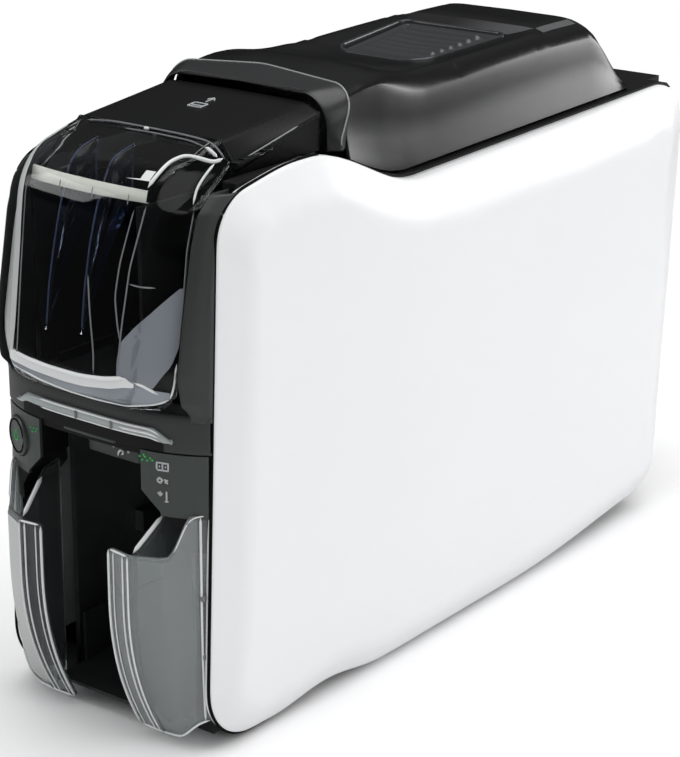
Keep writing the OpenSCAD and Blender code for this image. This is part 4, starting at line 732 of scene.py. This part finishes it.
# half width of its front face, inside the rounded corners
def doorFace(z):
    return np.interp(z, [155, 165, 177, 229.5, 253.5, 259.5], [28, 34, 35, 35, 35, 37])


# y of the bezel's cheeks beside the door, at their inner and outer lines
def cheekFront(z):
    return np.interp(z, [152.5, 160, 172, 187.5, 223.5, 236.5, 243.5],
                     [-184, -188, -190, -187.5, -180.5, -176, -168])


def cheekEdge(z):
    return np.interp(z, [152.5, 187.5, 205.5, 223.5, 236.5, 243.5], [-178.3, -177, -176, -173, -168, -162])


# y of the door's rear edge
def doorBack(z):
    return np.interp(z, [155, 162, 172, 223.5, 236.5, 251.5, 259.5],
                     [-187.5, cheekFront(162) + 2.5, -187, -177.5, -172, -147.4, -147.4])


# each row is a plan line from one rear edge round the front to the other, with cut corners; rows follow the
# door's side view
def doorRows():
    y, z = doorPath.T
    w, f = doorWide(z), doorFace(z)
    y1 = np.maximum(doorBack(z), y + 0.6)
    y0 = np.minimum(y, y1 - 0.3)
    e = y1 - y0
    bow, side = np.minimum(3, e * 0.15), np.minimum(1, e / 18)
    return cutCorners(bothHalves(rowsOf([
        (w, y1, z), (mix(f, w, 0.9), y0 + e * 0.8 + bow, z), (mix(f, w, 0.62), y0 + e * 0.5 + bow, z),
        (f + 2.8 * side, y0 + bow + 2.8 * side, z), (f + side, y0 + bow + 0.8 * side, z),
        (f - 1.5, y0 + bow * 0.9, z), (f - 5, y0 + bow * 0.7, z), (f * 0.5, y0 + bow * 0.2, z),
        (0, y0, z)])), 3)


doorGrid = doorRows()


# y on the door's rows at distance x from the middle: between the row's two points on either side of x
def doorDepth(rows, x):
    half = doorGrid[rows, doorGrid.shape[1] // 2:, :2]
    k = np.clip((half[..., 0] < x[..., None]).sum(-1), 1, half.shape[-2] - 1)[..., None, None]
    before, after = (np.take_along_axis(half, j, -2)[..., 0, :] for j in (k - 1, k))
    t = np.clip((x - before[..., 0]) / (after[..., 0] - before[..., 0]), 0, 1)
    return mix(before[..., 1], after[..., 1], t)


# points on the door's outer face at given x and z, moved out by some millimetres
def onDoor(x, z, out=0.1):
    x, z = np.asarray(x, float), np.asarray(z, float)
    rows = np.interp(z, doorGrid[:, 0, 2], np.arange(len(doorGrid)))
    low = np.clip(rows.astype(int), 0, len(doorGrid) - 2)
    y = mix(doorDepth(low, abs(x)), doorDepth(low + 1, abs(x)), rows - low)
    return gridOf(x, y - out, z)


# a strip of the door's face between two sides given as rows of [z, x left, x right]
def doorStrip(name, rows, out, look, columns=8):
    rows = np.array(rows, float)
    z = np.linspace(rows[0, 0], rows[-1, 0], max(8, int(abs(rows[-1, 0] - rows[0, 0]) / 2)))
    left, right = (np.interp(z, rows[:, 0], rows[:, k])[:, None] for k in (1, 2))
    x = mix(left, right, np.linspace(0, 1, columns))
    gridPiece(name, onDoor(x, np.broadcast_to(z[:, None], x.shape), out), *doorPlace, look, (0, -100, 200))


# a band of the door's face along x, given as rows of [x, z low, z high]
def doorBand(name, rows, out, look, lanes):
    rows = np.array(rows, float)
    x = np.linspace(rows[0, 0], rows[-1, 0], 60)
    low, high = (np.interp(x, rows[:, 0], rows[:, k]) for k in (1, 2))
    z = mix(low, high, np.linspace(0, 1, lanes + 1)[:, None])
    gridPiece(name, onDoor(np.broadcast_to(x, z.shape), z, out), *doorPlace, look, (0, -100, 200))


# the door's shell, with a bead along each rear edge
def frontDoor():
    obj = gridPiece("front_door_skin", doorGrid, *doorPlace, "doorClear", (0, -150, 205), 2.2)
    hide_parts("front_door")
    for k, name, inside in ((0, "left", 0.5), (-1, "right", -0.5)):
        edge = doorGrid[:, k] + (inside, 0.3, 0)
        tubePiece("door_bead_" + name, edge[2:-2:2], 0.9, *doorPlace, "doorClear")


# fins inside the door: x, then [y, z] down their front and their back edge
fins = [(-15.0,
         [(-194.8, 182), (-192.2, 200), (-188.8, 215), (-185.6, 227), (-181.8, 238), (-177.8, 248),
          (-170.8, 253), (-161.8, 256)],
         [(-195.5, 181), (-189, 192), (-183, 203), (-178, 212), (-173, 219), (-167, 224), (-164, 226),
          (-164, 240)]),
        (5.0,
         [(-194.8, 184), (-192.2, 202), (-188.8, 218), (-186.4, 226), (-183.8, 234), (-175.8, 250),
          (-168.8, 253.4), (-160.8, 255.6)],
         [(-195.5, 183), (-189, 194), (-183, 205), (-178, 214), (-173, 221), (-168, 227), (-165, 231),
          (-164, 242)])]


# each fin is a 1 mm blade between its two edges, with a lit front edge and rear corner
def doorFins():
    for i, (x, front, back) in enumerate(fins):
        f, r = np.array(front), np.array(back)
        sides = ((-0.5, f), (-0.5, r), (0.5, r), (0.5, f))
        corners = np.stack([gridOf(x + off, edge[:, 0], edge[:, 1]) for off, edge in sides], 0)
        gridPiece("door_fin_%d" % i, cutCorners(corners, 2), *doorPlace, "finBlue",
                               (x, -180, 225), closeRows=True)
        lines = [(gridOf(x, f[:, 0] - 0.2, f[:, 1]), 0.4),
                 ([(x, -162, 255.6), (x, -162.4, 245), (x, -163, 235)], 0.3)]
        tubeSet("fin_edge_%d" % i, lines, *doorPlace, "finEdge")
    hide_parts("door_ribs")


# pale strip across the inside of the door: a rounded section carried along x, a little lower to the right
def doorInnerStrip():
    t = np.linspace(0, 1, 24)
    x = mix(-33.0, 30.5, t)
    y = onDoor(x, np.full(24, 245.0), -2.6)[:, 1]
    section = ((1.4, 239.2, 0), (0.1, 239.2, 0), (-0.3, 239.5, 0), (0.9, 244.6, 0.9), (1.3, 244.8, 0.9),
               (1.7, 244.8, 0.9))
    grid = np.stack([gridOf(x, y + depth, z - drop * t) for depth, z, drop in section], 0)
    gridPiece("door_strip", grid, *doorPlace, "stripPale", (0, -175, 240))
    lines = [([(a, b - 2.2, 239.6), (a, b - 0.9, 244.2)], 0.22)
             for a, b in ((-10, -188.6), (8, -188.7), (27, -188.2))]
    tubeSet("strip_lines", lines, *doorPlace, "edgeSoft")


# fields of painted light on the moulding: its left band, the two-toned lip, and the wedges at the right and
# the top
def doorLights():
    doorStrip("door_side_band", [
        [165, -45, -32.5], [180, -49.4, -31.5], [215, -48.6, -31.2], [238, -45.6, -31.8], [247, -43.5, -32.8],
        [252, -41, -35], [257, -38.4, -36.4]], 0.15, "bandPale", 16)
    doorBand("door_lip_fill", [
        [-35, 162.5, 167], [-20, 160, 166], [0, 158.3, 165], [20, 157.6, 166], [30, 157.6, 168],
        [40, 158.6, 166], [45, 161.4, 164]], 0.1, "lipMix", 5)
    doorBand("door_lip_light", [
        [-38, 165.4, 169.4], [-20, 163.6, 167.6], [0, 162.9, 166.8], [10, 163, 167], [24, 164.6, 169],
        [31, 166.4, 170.6], [35, 166.8, 168.4]], 0.25, "edgeBright", 4)
    doorStrip("door_wedge_glow", [
        [166.5, 27, 41], [176, 26.5, 47], [184, 27.5, 48.8], [196, 38, 48.6], [207, 47, 48.2]],
        0.1, "wedgeBlue")


# lines of painted light on the moulding: [points, radius] each, the flat ones as [x list, z list] on the
# door's face
def doorEdges():
    bright = [([(32.4, -184.0, 246.2), (32.8, -181, 249.1), (33.2, -177.8, 251.4), (32.8, -173, 253.6),
                (32.6, -169.7, 254.6), (34.3, -163.6, 256.0), (38.8, -161.4, 255.2), (42.8, -155.2, 252.4),
                (43.2, -150.5, 253.6)], 0.85),
              ([(42.8, -155.2, 252.4), (43.4, -161.5, 249.3), (43.8, -167.8, 244.7), (45.4, -171.9, 239)],
               0.55),
              ([(37, -154.4, 258), (39.2, -153.8, 256.8), (42, -152.8, 254.2)], 0.8)]
    bright += [(onDoor(x, z, 0.2), r) for x, z, r in (
        ([-36, -25, -10, 7, 20, 31], [169, 167.8, 167, 166.9, 168, 170.2], 1.0),
        ([-33, -15, 0, 15, 30, 40, 44.5], [163, 160.3, 158.6, 157.6, 157.6, 158.6, 160.8], 0.55),
        ([44.5, 47, 48.6], [160.8, 166, 177], 0.5), ([31, 38, 42], [170.2, 167.5, 163.5], 0.7))]
    bright += [([(-0.5, -149.4, 259.5), (2.4, -149.4, 259.5)], 0.8)]
    tubeSet("door_edges_bright", bright, *doorPlace, "edgeBright")
    # soft grey lines on the door: painted highlights
    soft = [(onDoor(x, z, 0.1), 0.35) for x, z in (
        ([9, 11, 14.5, 15], [209, 195, 177, 169]), ([29.6, 25, 23.6, 26, 28], [238, 216, 202, 190, 184]),
        ([34.5, 33.4, 30, 28, 27], [240, 231, 215, 192, 172]),
        ([46.4, 47.6, 48.3, 48.6], [236, 222, 205, 183]),
        ([30, 35, 40], [208.5, 207.8, 207.4]), ([-29.6, -29.8, -30.6], [167, 205, 240]))]
    soft += [([(-31, -151.5, 259.1), (-17, -149, 259.9), (1.2, -148.9, 259.9), (20, -149.2, 259.8),
               (34, -150, 259.4), (38.5, -150, 258), (43.8, -149.8, 252.8)], 0.45),
             ([(-9, -152.6, 258.9), (8, -152.2, 259.1), (27.3, -152.6, 258.9), (36, -153.4, 257.6),
               (40.3, -154.8, 255.2)], 0.35)]
    tubeSet("door_edges_soft", soft, *doorPlace, "edgeSoft")
    # a wedge of painted light near the top
    wedge = [[248.4, 20, 32.8], [248.84, 27, 31.6], [251.5, 27, 31.6]]
    doorStrip("door_light_wedge", wedge, 0.2, "edgeBright")


frontDoor()
doorFins()
doorInnerStrip()
doorLights()
doorEdges()
print("hopper cover and door made")

bezel = {"half": 57.5, "y": -177.5, "bow": 12.0, "wall": 2.4, "cheekWall": 0.8, "low": 150.5, "high": 243.5}


# y of the bezel's front at x: flat in the middle, falling back towards the sides by the power 3.6
def bay(x):
    return bezel["y"] - bezel["bow"] * (1 - np.minimum(1, np.abs(x) / bezel["half"]) ** 3.6)


# the band across the front: [z, distance back] down its rounded section, carried along x
def bezelBand():
    x = np.linspace(-bezel["half"], bezel["half"], 161)
    z = np.array([136.5, 136.6, 137.1, 138.0, 141, 145, 149, 151.8, 152.7, 153.15, 153.2])[:, None]
    back = np.array([2.0, 0.6, 0.1, 0, 0, 0, 0, 0, 0.2, 0.8, 2.0])[:, None]
    band = gridPiece("bezel_band", gridOf(x, bay(x) + back, z), "case", "trim_charcoal", "charcoal",
                     (0, -120, 145), bezel["wall"])
    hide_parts("front_bezel")


# cheek beside the door: from the door's side out to the side panel's edge, with a return inwards; the left
# one is narrower towards its top
def bezelCheek(side):
    z = np.linspace(bezel["low"], bezel["high"], 90)
    start = smooth((z - bezel["low"]) / 9)
    a, b = (mix(bay(x) - 0.05, line(np.maximum(z, 152.5)), start)
            for x, line in ((50.8, cheekFront), (57.4, cheekEdge)))
    edge = np.interp(z, [190, 219, 236], [0, -1.4, -4.8]) if side < 0 else 0
    right = rowsOf([(50.9, b + 12, z), (50.9, a + 3, z), (50.9, a + 0.7, z), (51.1, a + 0.15, z),
                    (51.8, mix(a, b, 0.1), z), (54.5 + edge / 2, mix(a, b, 0.5) - 0.7, z),
                    (56.6 + edge, mix(a, b, 0.88), z), (57.3 + edge, b + 0.2, z), (57.45 + edge, b + 1.2, z),
                    (57.45 + edge, b + 10, z)])
    gridPiece("bezel_cheek_" + ("left" if side < 0 else "right"), cutCorners(right * (side, 1, 1), 2), "case",
              "trim_charcoal", "charcoal", (54 * side, -160, 195), bezel["cheekWall"])


bezelBand()
for side in (-1, 1):
    bezelCheek(side)

bar = {"half": 44.0, "z": 144.6, "tipZ": 142.0, "high": 2.3, "proud": 1.5, "wall": 1.4, "ticks": (-4.5, 15.3)}


# light bar: its height shrinks to a point at the tips, and its front is crowned by 1 - (2 s - 1)^4
def lightBar():
    x = np.linspace(-bar["half"], bar["half"], 121)[:, None]
    inside = bar["half"] - np.abs(x)
    middle = mix(bar["tipZ"], bar["z"], smooth(inside / 9))
    up = bar["high"] * np.minimum(1, inside / 9 + 0.05)
    low = -bar["high"] * np.minimum(1, inside / 5 + 0.2)
    s = np.linspace(0, 1, 9)
    y = bay(x) + 0.6 - (bar["proud"] + 0.6) * np.sqrt(1 - (2 * s - 1) ** 4)
    grid = gridOf(x, y, middle + mix(low, up, s))
    obj = gridPiece("light_bar_skin", grid, "case", "light_clear", "lightGuide", (0, -150, 142), bar["wall"])
    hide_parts("light_bar")
    # painted highlights: pale lines along the bar's top and bottom edges over its lit part, and a short one
    # along its front
    lit = grid[(x[:, 0] > -27) & (x[:, 0] < 40)]
    lines = [(lit[:, 7] + (0, -0.25, 0.1), 0.42), (lit[:, 1] + (0, -0.25, 0), 0.36),
             (grid[86:114, 4] + (0, -0.1, 0), 0.5)]
    tubeSet("light_bar_lines", lines, "case", "light_clear", "edgeBright")
    ticks = [([(x, bay(x) - 1.7, bar["z"] + z) for z in (-2, 2)], 0.7) for x in bar["ticks"]]
    tubeSet("light_bar_ticks", ticks, "case", "light_clear", "edgeSoft")
    # painted shade of a groove below the bar: a dark sheet laid just in front of the bezel
    x = np.linspace(-40, 40, 81)
    groove = gridOf(x, bay(x) - 0.12, np.array([137.0, 139.5, 142.2])[:, None])
    gridPiece("light_bar_shade", groove, "case", "trim_charcoal", "darkPlain", (0, -150, 142))


# black seam round the front half of each side panel
def seams():
    p = panelOutline()
    p = np.roll(p, -int(np.argmax(p[:, 0])), 0)
    p = p[p[:, 0] < -105]
    for side, name in ((-1, "left"), (1, "right")):
        path = gridOf(56.9 * side, p[:, 0], p[:, 1])
        tubeSet("panel_seam_" + name, [(path, 0.75)], "case", "trim_charcoal", "seamBlack")


# card tab: a section with a front lip, a shelf going back and a tongue that hangs down, carried along x; its
# sides turn back. On it a small generic mark
def exitTab():
    section = [(-188.9, 137.6), (-189.3, 135.2), (-175.6, 134.4), (-174.0, 121.5)]
    path = filletPath(section, [0, 0.5, 2, 0], 40)
    x = np.array([-15, -14.9, -14.4, -13, 0, 13, 14.4, 14.9, 15.0])
    back = np.array([2.0, 0.9, 0.2, 0, 0, 0, 0.2, 0.9, 2.0]) + 0.55 * (x / 15) ** 2
    grid = gridOf(x, path[:, :1] + back, path[:, 1:])
    obj = gridPiece("exit_tab_skin", grid, "case", "trim_charcoal", "controlGrey", (0, -150, 150), 1.4)
    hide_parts("exit_tab")
    hook = [(3.6, 122.6), (3.8, 125.0), (5.2, 126.9), (7.2, 127.0), (8.2, 125.6), (7.0, 124.2), (5.2, 123.8)]
    lines = [([(x, -174.75 - 0.12 * (z - 121.5), z) for x, z in hook], 0.5),
             ([(1.8, -175.6, 127.6), (2.2, -175.6, 126.8)], 0.5),
             ([(10.0, -175.7, 127.0), (11.0, -175.7, 126.2)], 0.5)]
    tubeSet("exit_tab_mark", lines, "case", "panel_white", "edgeBright")


# a line on the control panels' face through [x, z] points, with its radius
def faceLine(points, r):
    return [(x, bay(x) - 0.12, z) for x, z in points], r


# marks on the two control panels: generic small signs and lit green dots
def controlMarks():
    signs = [([(36.8, 128.8), (41.8, 128.8), (41.8, 132.0), (36.8, 132.0), (36.8, 128.8)], 0.42),
             ([(39.4, 129.0), (39.4, 131.9)], 0.4), ([(37.8, 130.4), (38.4, 130.4)], 0.5),
             ([(40.4, 130.4), (41.0, 130.4)], 0.5),
             ([(36.8, 124.0), (37.8, 125.4), (39.2, 124.6), (38.4, 123.2), (36.8, 124.0)], 0.5),
             ([(40.0, 125.2), (41.6, 123.0)], 0.4), ([(41.6, 125.0), (40.2, 123.2)], 0.4),
             ([(37.0, 119.0), (38.2, 117.6), (39.2, 118.8)], 0.45), ([(38.2, 119.6), (38.2, 117.8)], 0.4),
             ([(40.9, 119.8), (40.9, 115.4)], 0.4), ([(40.0, 115.2), (41.8, 115.2)], 0.4)]
    tubeSet("control_signs", [faceLine(*sign) for sign in signs], "case", "panel_white", "iconPale", 0)
    right = [(28.4, 133.0), (29.6, 131.6), (31.0, 133.2), (32.0, 131.8), (33.4, 133.0), (34.4, 132.2),
             (30.4, 134.0)]
    left = [(-35.4, 130.6), (-34.2, 129.0), (-33.0, 130.8), (-31.6, 129.6), (-30.6, 131.0)]
    dots = [faceLine([(x, z), (x + 0.9, z + 0.5)], 0.42) for x, z in right]
    dots += [faceLine([(x, z), (x + 0.8, z + 0.6)], 0.36) for x, z in left]
    tubeSet("status_lights", dots, "case", "light_clear", "ledGreen")


button = {"x": -46.0, "z": 123.5, "proud": 1.15, "ring": 7.7, "sign": 2.6}


# ring and small generic sign on the power button's face, as arcs square to the bezel there
def buttonRing():
    x = button["x"]
    along = unit(np.array([1, bay(x + 0.5) - bay(x - 0.5), 0]))
    middle = np.array([x, bay(x), button["z"]]) + np.array([along[1], -along[0], 0]) * button["proud"]

    def arc(r, start, end):
        t = np.radians(np.linspace(start, end, 40))[:, None]
        return middle + r * (np.cos(t) * along + np.sin(t) * (0, 0, 1.0))

    tubeSet("button_ring", [(arc(button["ring"], 0, 360), 0.4)], "power_key", "button_grey", "seamBlack")
    sign = [(arc(button["sign"], 130, 410), 0.3), ([middle + (0, 0, 0.6), middle + (0, 0, 3.2)], 0.3)]
    tubeSet("button_sign", sign, "power_key", "light_clear", "ledGreen")


lightBar()
seams()
exitTab()
controlMarks()
buttonRing()
print("bezel and controls made")

wings = {"back": (55.4, -177.2), "bulge": (44.5, -194.3), "corner": (31.0, -200.3), "tip": (20.0, -199.0),
         "inner": (38.0, -168.0), "foot": 5.0, "top": 93.0, "rearTop": 110.0, "wall": 1.8, "sweep": 19.0}


# one sheet of a wing over a plan path: from its lower to its upper edge, swept back below z 72 by a power
def wingSheet(side, path, low, top, name, look, behind):
    z = mix(low, top, np.linspace(0, 1, 49)[:, None])
    sweep = wings["sweep"] * np.clip((72 - z) / 68, 0, 1) ** 2.2
    y = path[:, 1] + sweep * np.clip((wings["back"][1] - path[:, 1]) / 23.1, 0, 1)
    grid = gridOf(side * path[:, 0], y, z)
    obj = gridPiece(name, grid, "case", "wing_clear", look, (side * behind[0], behind[1], 50), wings["wall"])
    return obj, grid


# outer wall with its front flange, and the inner wall that climbs to the case; the outer wall's foot rises
# towards the back and its last part stands taller
def wing(side):
    name = "left_wing" if side < 0 else "right_wing"
    path = filletPath([wings["back"], wings["bulge"], wings["corner"], wings["tip"]], [0, 9, 2.5, 0], 72)
    low = wings["foot"] + 11 * smooth((path[:, 0] - 40) / 15.4)
    top = mix(wings["top"], wings["rearTop"], smooth((path[:, 0] - 46) / 6))

    def column(x):
        return int(np.argmin(np.abs(path[:, 0] - x)))

    k = column(30.4)
    outer, g = wingSheet(side, path[:k + 1], low[:k + 1], top[:k + 1], name + "_outer", "wingClear",
                         (36, -180))
    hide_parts(name)
    # painted light: the left flange takes the clearer window plastic and the right one the wing's own, though
    # both wings are one plastic
    flangeLook = "wingWindow" if side < 0 else "wingClear"
    flange = wingSheet(side, path[k:], low[k:], top[k:], name + "_flange", flangeLook, (36, -180))[1]
    g = np.concatenate([g, flange[:, 1:]], 1)
    t = np.linspace(0, 1, 24)
    (x0, y0), (x1, y1) = wings["corner"], wings["inner"]
    wall = np.stack([mix(x0 + 0.8, x1, t), mix(y0 + 2.8, y1, t)], 1)
    wallTop = mix(wings["top"], wings["rearTop"] - 0.5, np.clip(t * 1.5, 0, 1))
    h = wingSheet(side, wall, wings["foot"], wallTop, name + "_inner", "wingWindow", (60, -185))[1]
    # painted highlights as bright edges: tip, flange lines, corner, foot, top, the inner wall's top and the
    # line near the back
    out = np.array([0.35 * side, -0.35, 0])
    lines = [(g[:, -1] + out * (-1, 1, 1), 0.6), (g[:, column(22.6)] + out * (0, 1, 0), 0.3),
             (g[:, column(28.2)] + out * (0, 1, 0), 0.42), (g[:, column(31.2)] + out, 0.42),
             (g[0] + out, 0.5), (g[-1, column(31.2):] + out, 0.5), (h[-1, :13] + (0, 0, 0.5), 1.0),
             (g[:, column(53.8)] + out, 0.55), (g[-1, :column(46.9)] + out, 0.3)]
    tubeSet(name + "_edges", lines, "case", "wing_clear", "edgeBright")
    # the left wing's slanting face catches more light than the right one's
    if side < 0:
        sheen = g[2:-1, column(48.5):column(32.2) + 1] + (-0.25, -0.3, 0)
        gridPiece("left_wing_sheen", sheen, "case", "wing_clear", "bandPale", (-36, -170, 50))
    clips = [([(side * 54.4, y, z - 1.6), (side * 54.2, y - 0.2, z + 1.6)], 1.3)
             for y, z in ((-179.6, 73.0), (-179.0, 46.0))]
    tubeSet(name + "_clips", clips, "case", "wing_clear", "edgeSoft")


for side in (-1, 1):
    wing(side)
print("wings made")


# 1 for rays straight from the eye, also through clear plastic; 0 once they were mirrored
def seenStraight(tree, path):
    through = maths(tree, "SUBTRACT", path["Is Transmission Ray"], path["Glossy Depth"])
    return maths(tree, "MAXIMUM", path["Is Camera Ray"], through)


# pale floor: away from the object it turns to plain white for the eye, and to dark in mirrored views
def studioFloor(size=8.0):
    mesh = bpy.data.meshes.new("floor")
    corners = [(-size, -size, 0), (size, -size, 0), (size, size, 0), (-size, size, 0)]
    mesh.from_pydata(corners, [], [(0, 1, 2, 3)])
    floor = bpy.data.objects.new("floor", mesh)
    bpy.context.scene.collection.objects.link(floor)
    m, tree, bsdf, out = newMaterial("floorPale")
    place = addNode(tree, "TexCoord").outputs["Object"]
    noise = addNode(tree, "TexNoise", {"Vector": place, "Scale": 3}).outputs["Fac"]
    setInputs(tree, bsdf, {"Roughness": maths(tree, "MULTIPLY_ADD", noise, 0.1, 0.6),
                           "Base Color": (0.97, 0.97, 0.975, 1), "Specular IOR Level": 0.1})
    distance = addNode(tree, "VectorMath", {0: place}, operation="LENGTH").outputs["Value"]
    path = addNode(tree, "LightPath").outputs
    mirrored = maths(tree, "ADD", path["Glossy Depth"], 0, clamp=True)
    shader = bsdf.outputs[0]
    for near, far, rays, colour in ((0.30, 0.62, seenStraight(tree, path), (1, 1, 1, 1)),
                                    (0.45, 1.2, mirrored, (0.05, 0.05, 0.05, 1))):
        ramp = addNode(tree, "MapRange", {"Value": distance, "From Min": near, "From Max": far},
                       interpolation_type="SMOOTHSTEP").outputs["Result"]
        plain = addNode(tree, "Emission", {"Color": colour}).outputs[0]
        share = maths(tree, "MULTIPLY", ramp, rays)
        shader = addNode(tree, "MixShader", {0: share, 1: shader, 2: plain}).outputs[0]
    setInputs(tree, out, {"Surface": shader})
    mesh.materials.append(m)


# sky: plain white for the eye; as light it is bright above and dim near the horizon and in mirrored views
def studioSky():
    world = bpy.data.worlds.new("studio")
    bpy.context.scene.world = world
    world.use_nodes = True
    tree = world.node_tree
    tree.nodes.clear()
    up = addNode(tree, "SeparateXYZ", {0: addNode(tree, "TexCoord").outputs["Generated"]}).outputs["Z"]
    path = addNode(tree, "LightPath").outputs
    heights = {"Value": up, "From Min": 0.12, "From Max": 0.75, "To Min": 0.05, "To Max": 0.8}
    ramp = addNode(tree, "MapRange", heights, interpolation_type="SMOOTHSTEP").outputs["Result"]
    dim = addNode(tree, "MapRange", {"Value": path["Glossy Depth"], "To Min": 1.0, "To Max": 0.18})
    strength = maths(tree, "MULTIPLY", ramp, dim.outputs["Result"])
    white = (1, 1, 1, 1)
    lit = addNode(tree, "Background", {"Color": white, "Strength": strength})
    seen = addNode(tree, "Background", {"Color": white, "Strength": 1.0})
    blend = addNode(tree, "MixShader", {0: seenStraight(tree, path), 1: lit.outputs[0], 2: seen.outputs[0]})
    addNode(tree, "OutputWorld", {"Surface": blend.outputs[0]})


# soft rectangular lamps, in metres and watts: place, aim, size, power
lamps = {"softTop": ((0.3, 0.1, 1.9), (0, 0, 0.1), (1.6, 1.6), 17.5),
         "softRight": ((1.9, 0.1, 0.9), (0, 0.05, 0.12), (1.2, 1.2), 5),
         "softBack": ((0.74, 1.62, 0.4), (0, 0.05, 0.2), (0.82, 0.6), 8.5),
         "softFront": ((-1.6, -1.4, 1.0), (0, -0.1, 0.1), (0.9, 0.9), 8)}


def lamp(name, place, aim, size, power):
    light = bpy.data.lights.new(name, "AREA")
    light.shape = "RECTANGLE"
    light.size, light.size_y = size
    light.energy = power
    obj = bpy.data.objects.new(name, light)
    bpy.context.scene.collection.objects.link(obj)
    obj.location = place
    obj.rotation_euler = (Vector(aim) - Vector(place)).to_track_quat("-Z", "Y").to_euler()


# angles in degrees, lengths in metres, the picture's size, focal length and middle in its own steps
view = {"azimuth": 37.5, "elevation": 19.0, "roll": 0.3, "distance": 1.06, "aim": (0.0, -0.022, 0.121),
        "width": 680.0, "height": 757.0, "focal": 2226.0, "middle": (331.5, 366.5)}


# the camera looks at the aim from the front right and above, turned by its roll
def camera():
    a, e, r = (math.radians(view[k]) for k in ("azimuth", "elevation", "roll"))
    back = Vector((math.sin(a) * math.cos(e), -math.cos(a) * math.cos(e), math.sin(e)))
    right = Vector((math.cos(a), math.sin(a), 0))
    up = back.cross(right)
    right, up = math.cos(r) * right + math.sin(r) * up, -math.sin(r) * right + math.cos(r) * up
    lens = bpy.data.cameras.new("camera")
    lens.sensor_width = 36
    lens.lens = view["focal"] / view["height"] * 36
    lens.shift_x = (view["width"] / 2 - view["middle"][0]) / view["height"]
    lens.shift_y = (view["middle"][1] - view["height"] / 2) / view["height"]
    lens.clip_start = 0.05
    lens.clip_end = 50
    obj = bpy.data.objects.new("camera", lens)
    bpy.context.scene.collection.objects.link(obj)
    m = Matrix((right, up, back)).transposed().to_4x4()
    m.translation = Vector(view["aim"]) + back * view["distance"]
    obj.matrix_world = m
    bpy.context.scene.camera = obj


studioFloor()
studioSky()
for name, values in lamps.items():
    lamp(name, *values)
camera()
bpy.context.scene.view_settings.view_transform = "Standard"
print("scene ready")
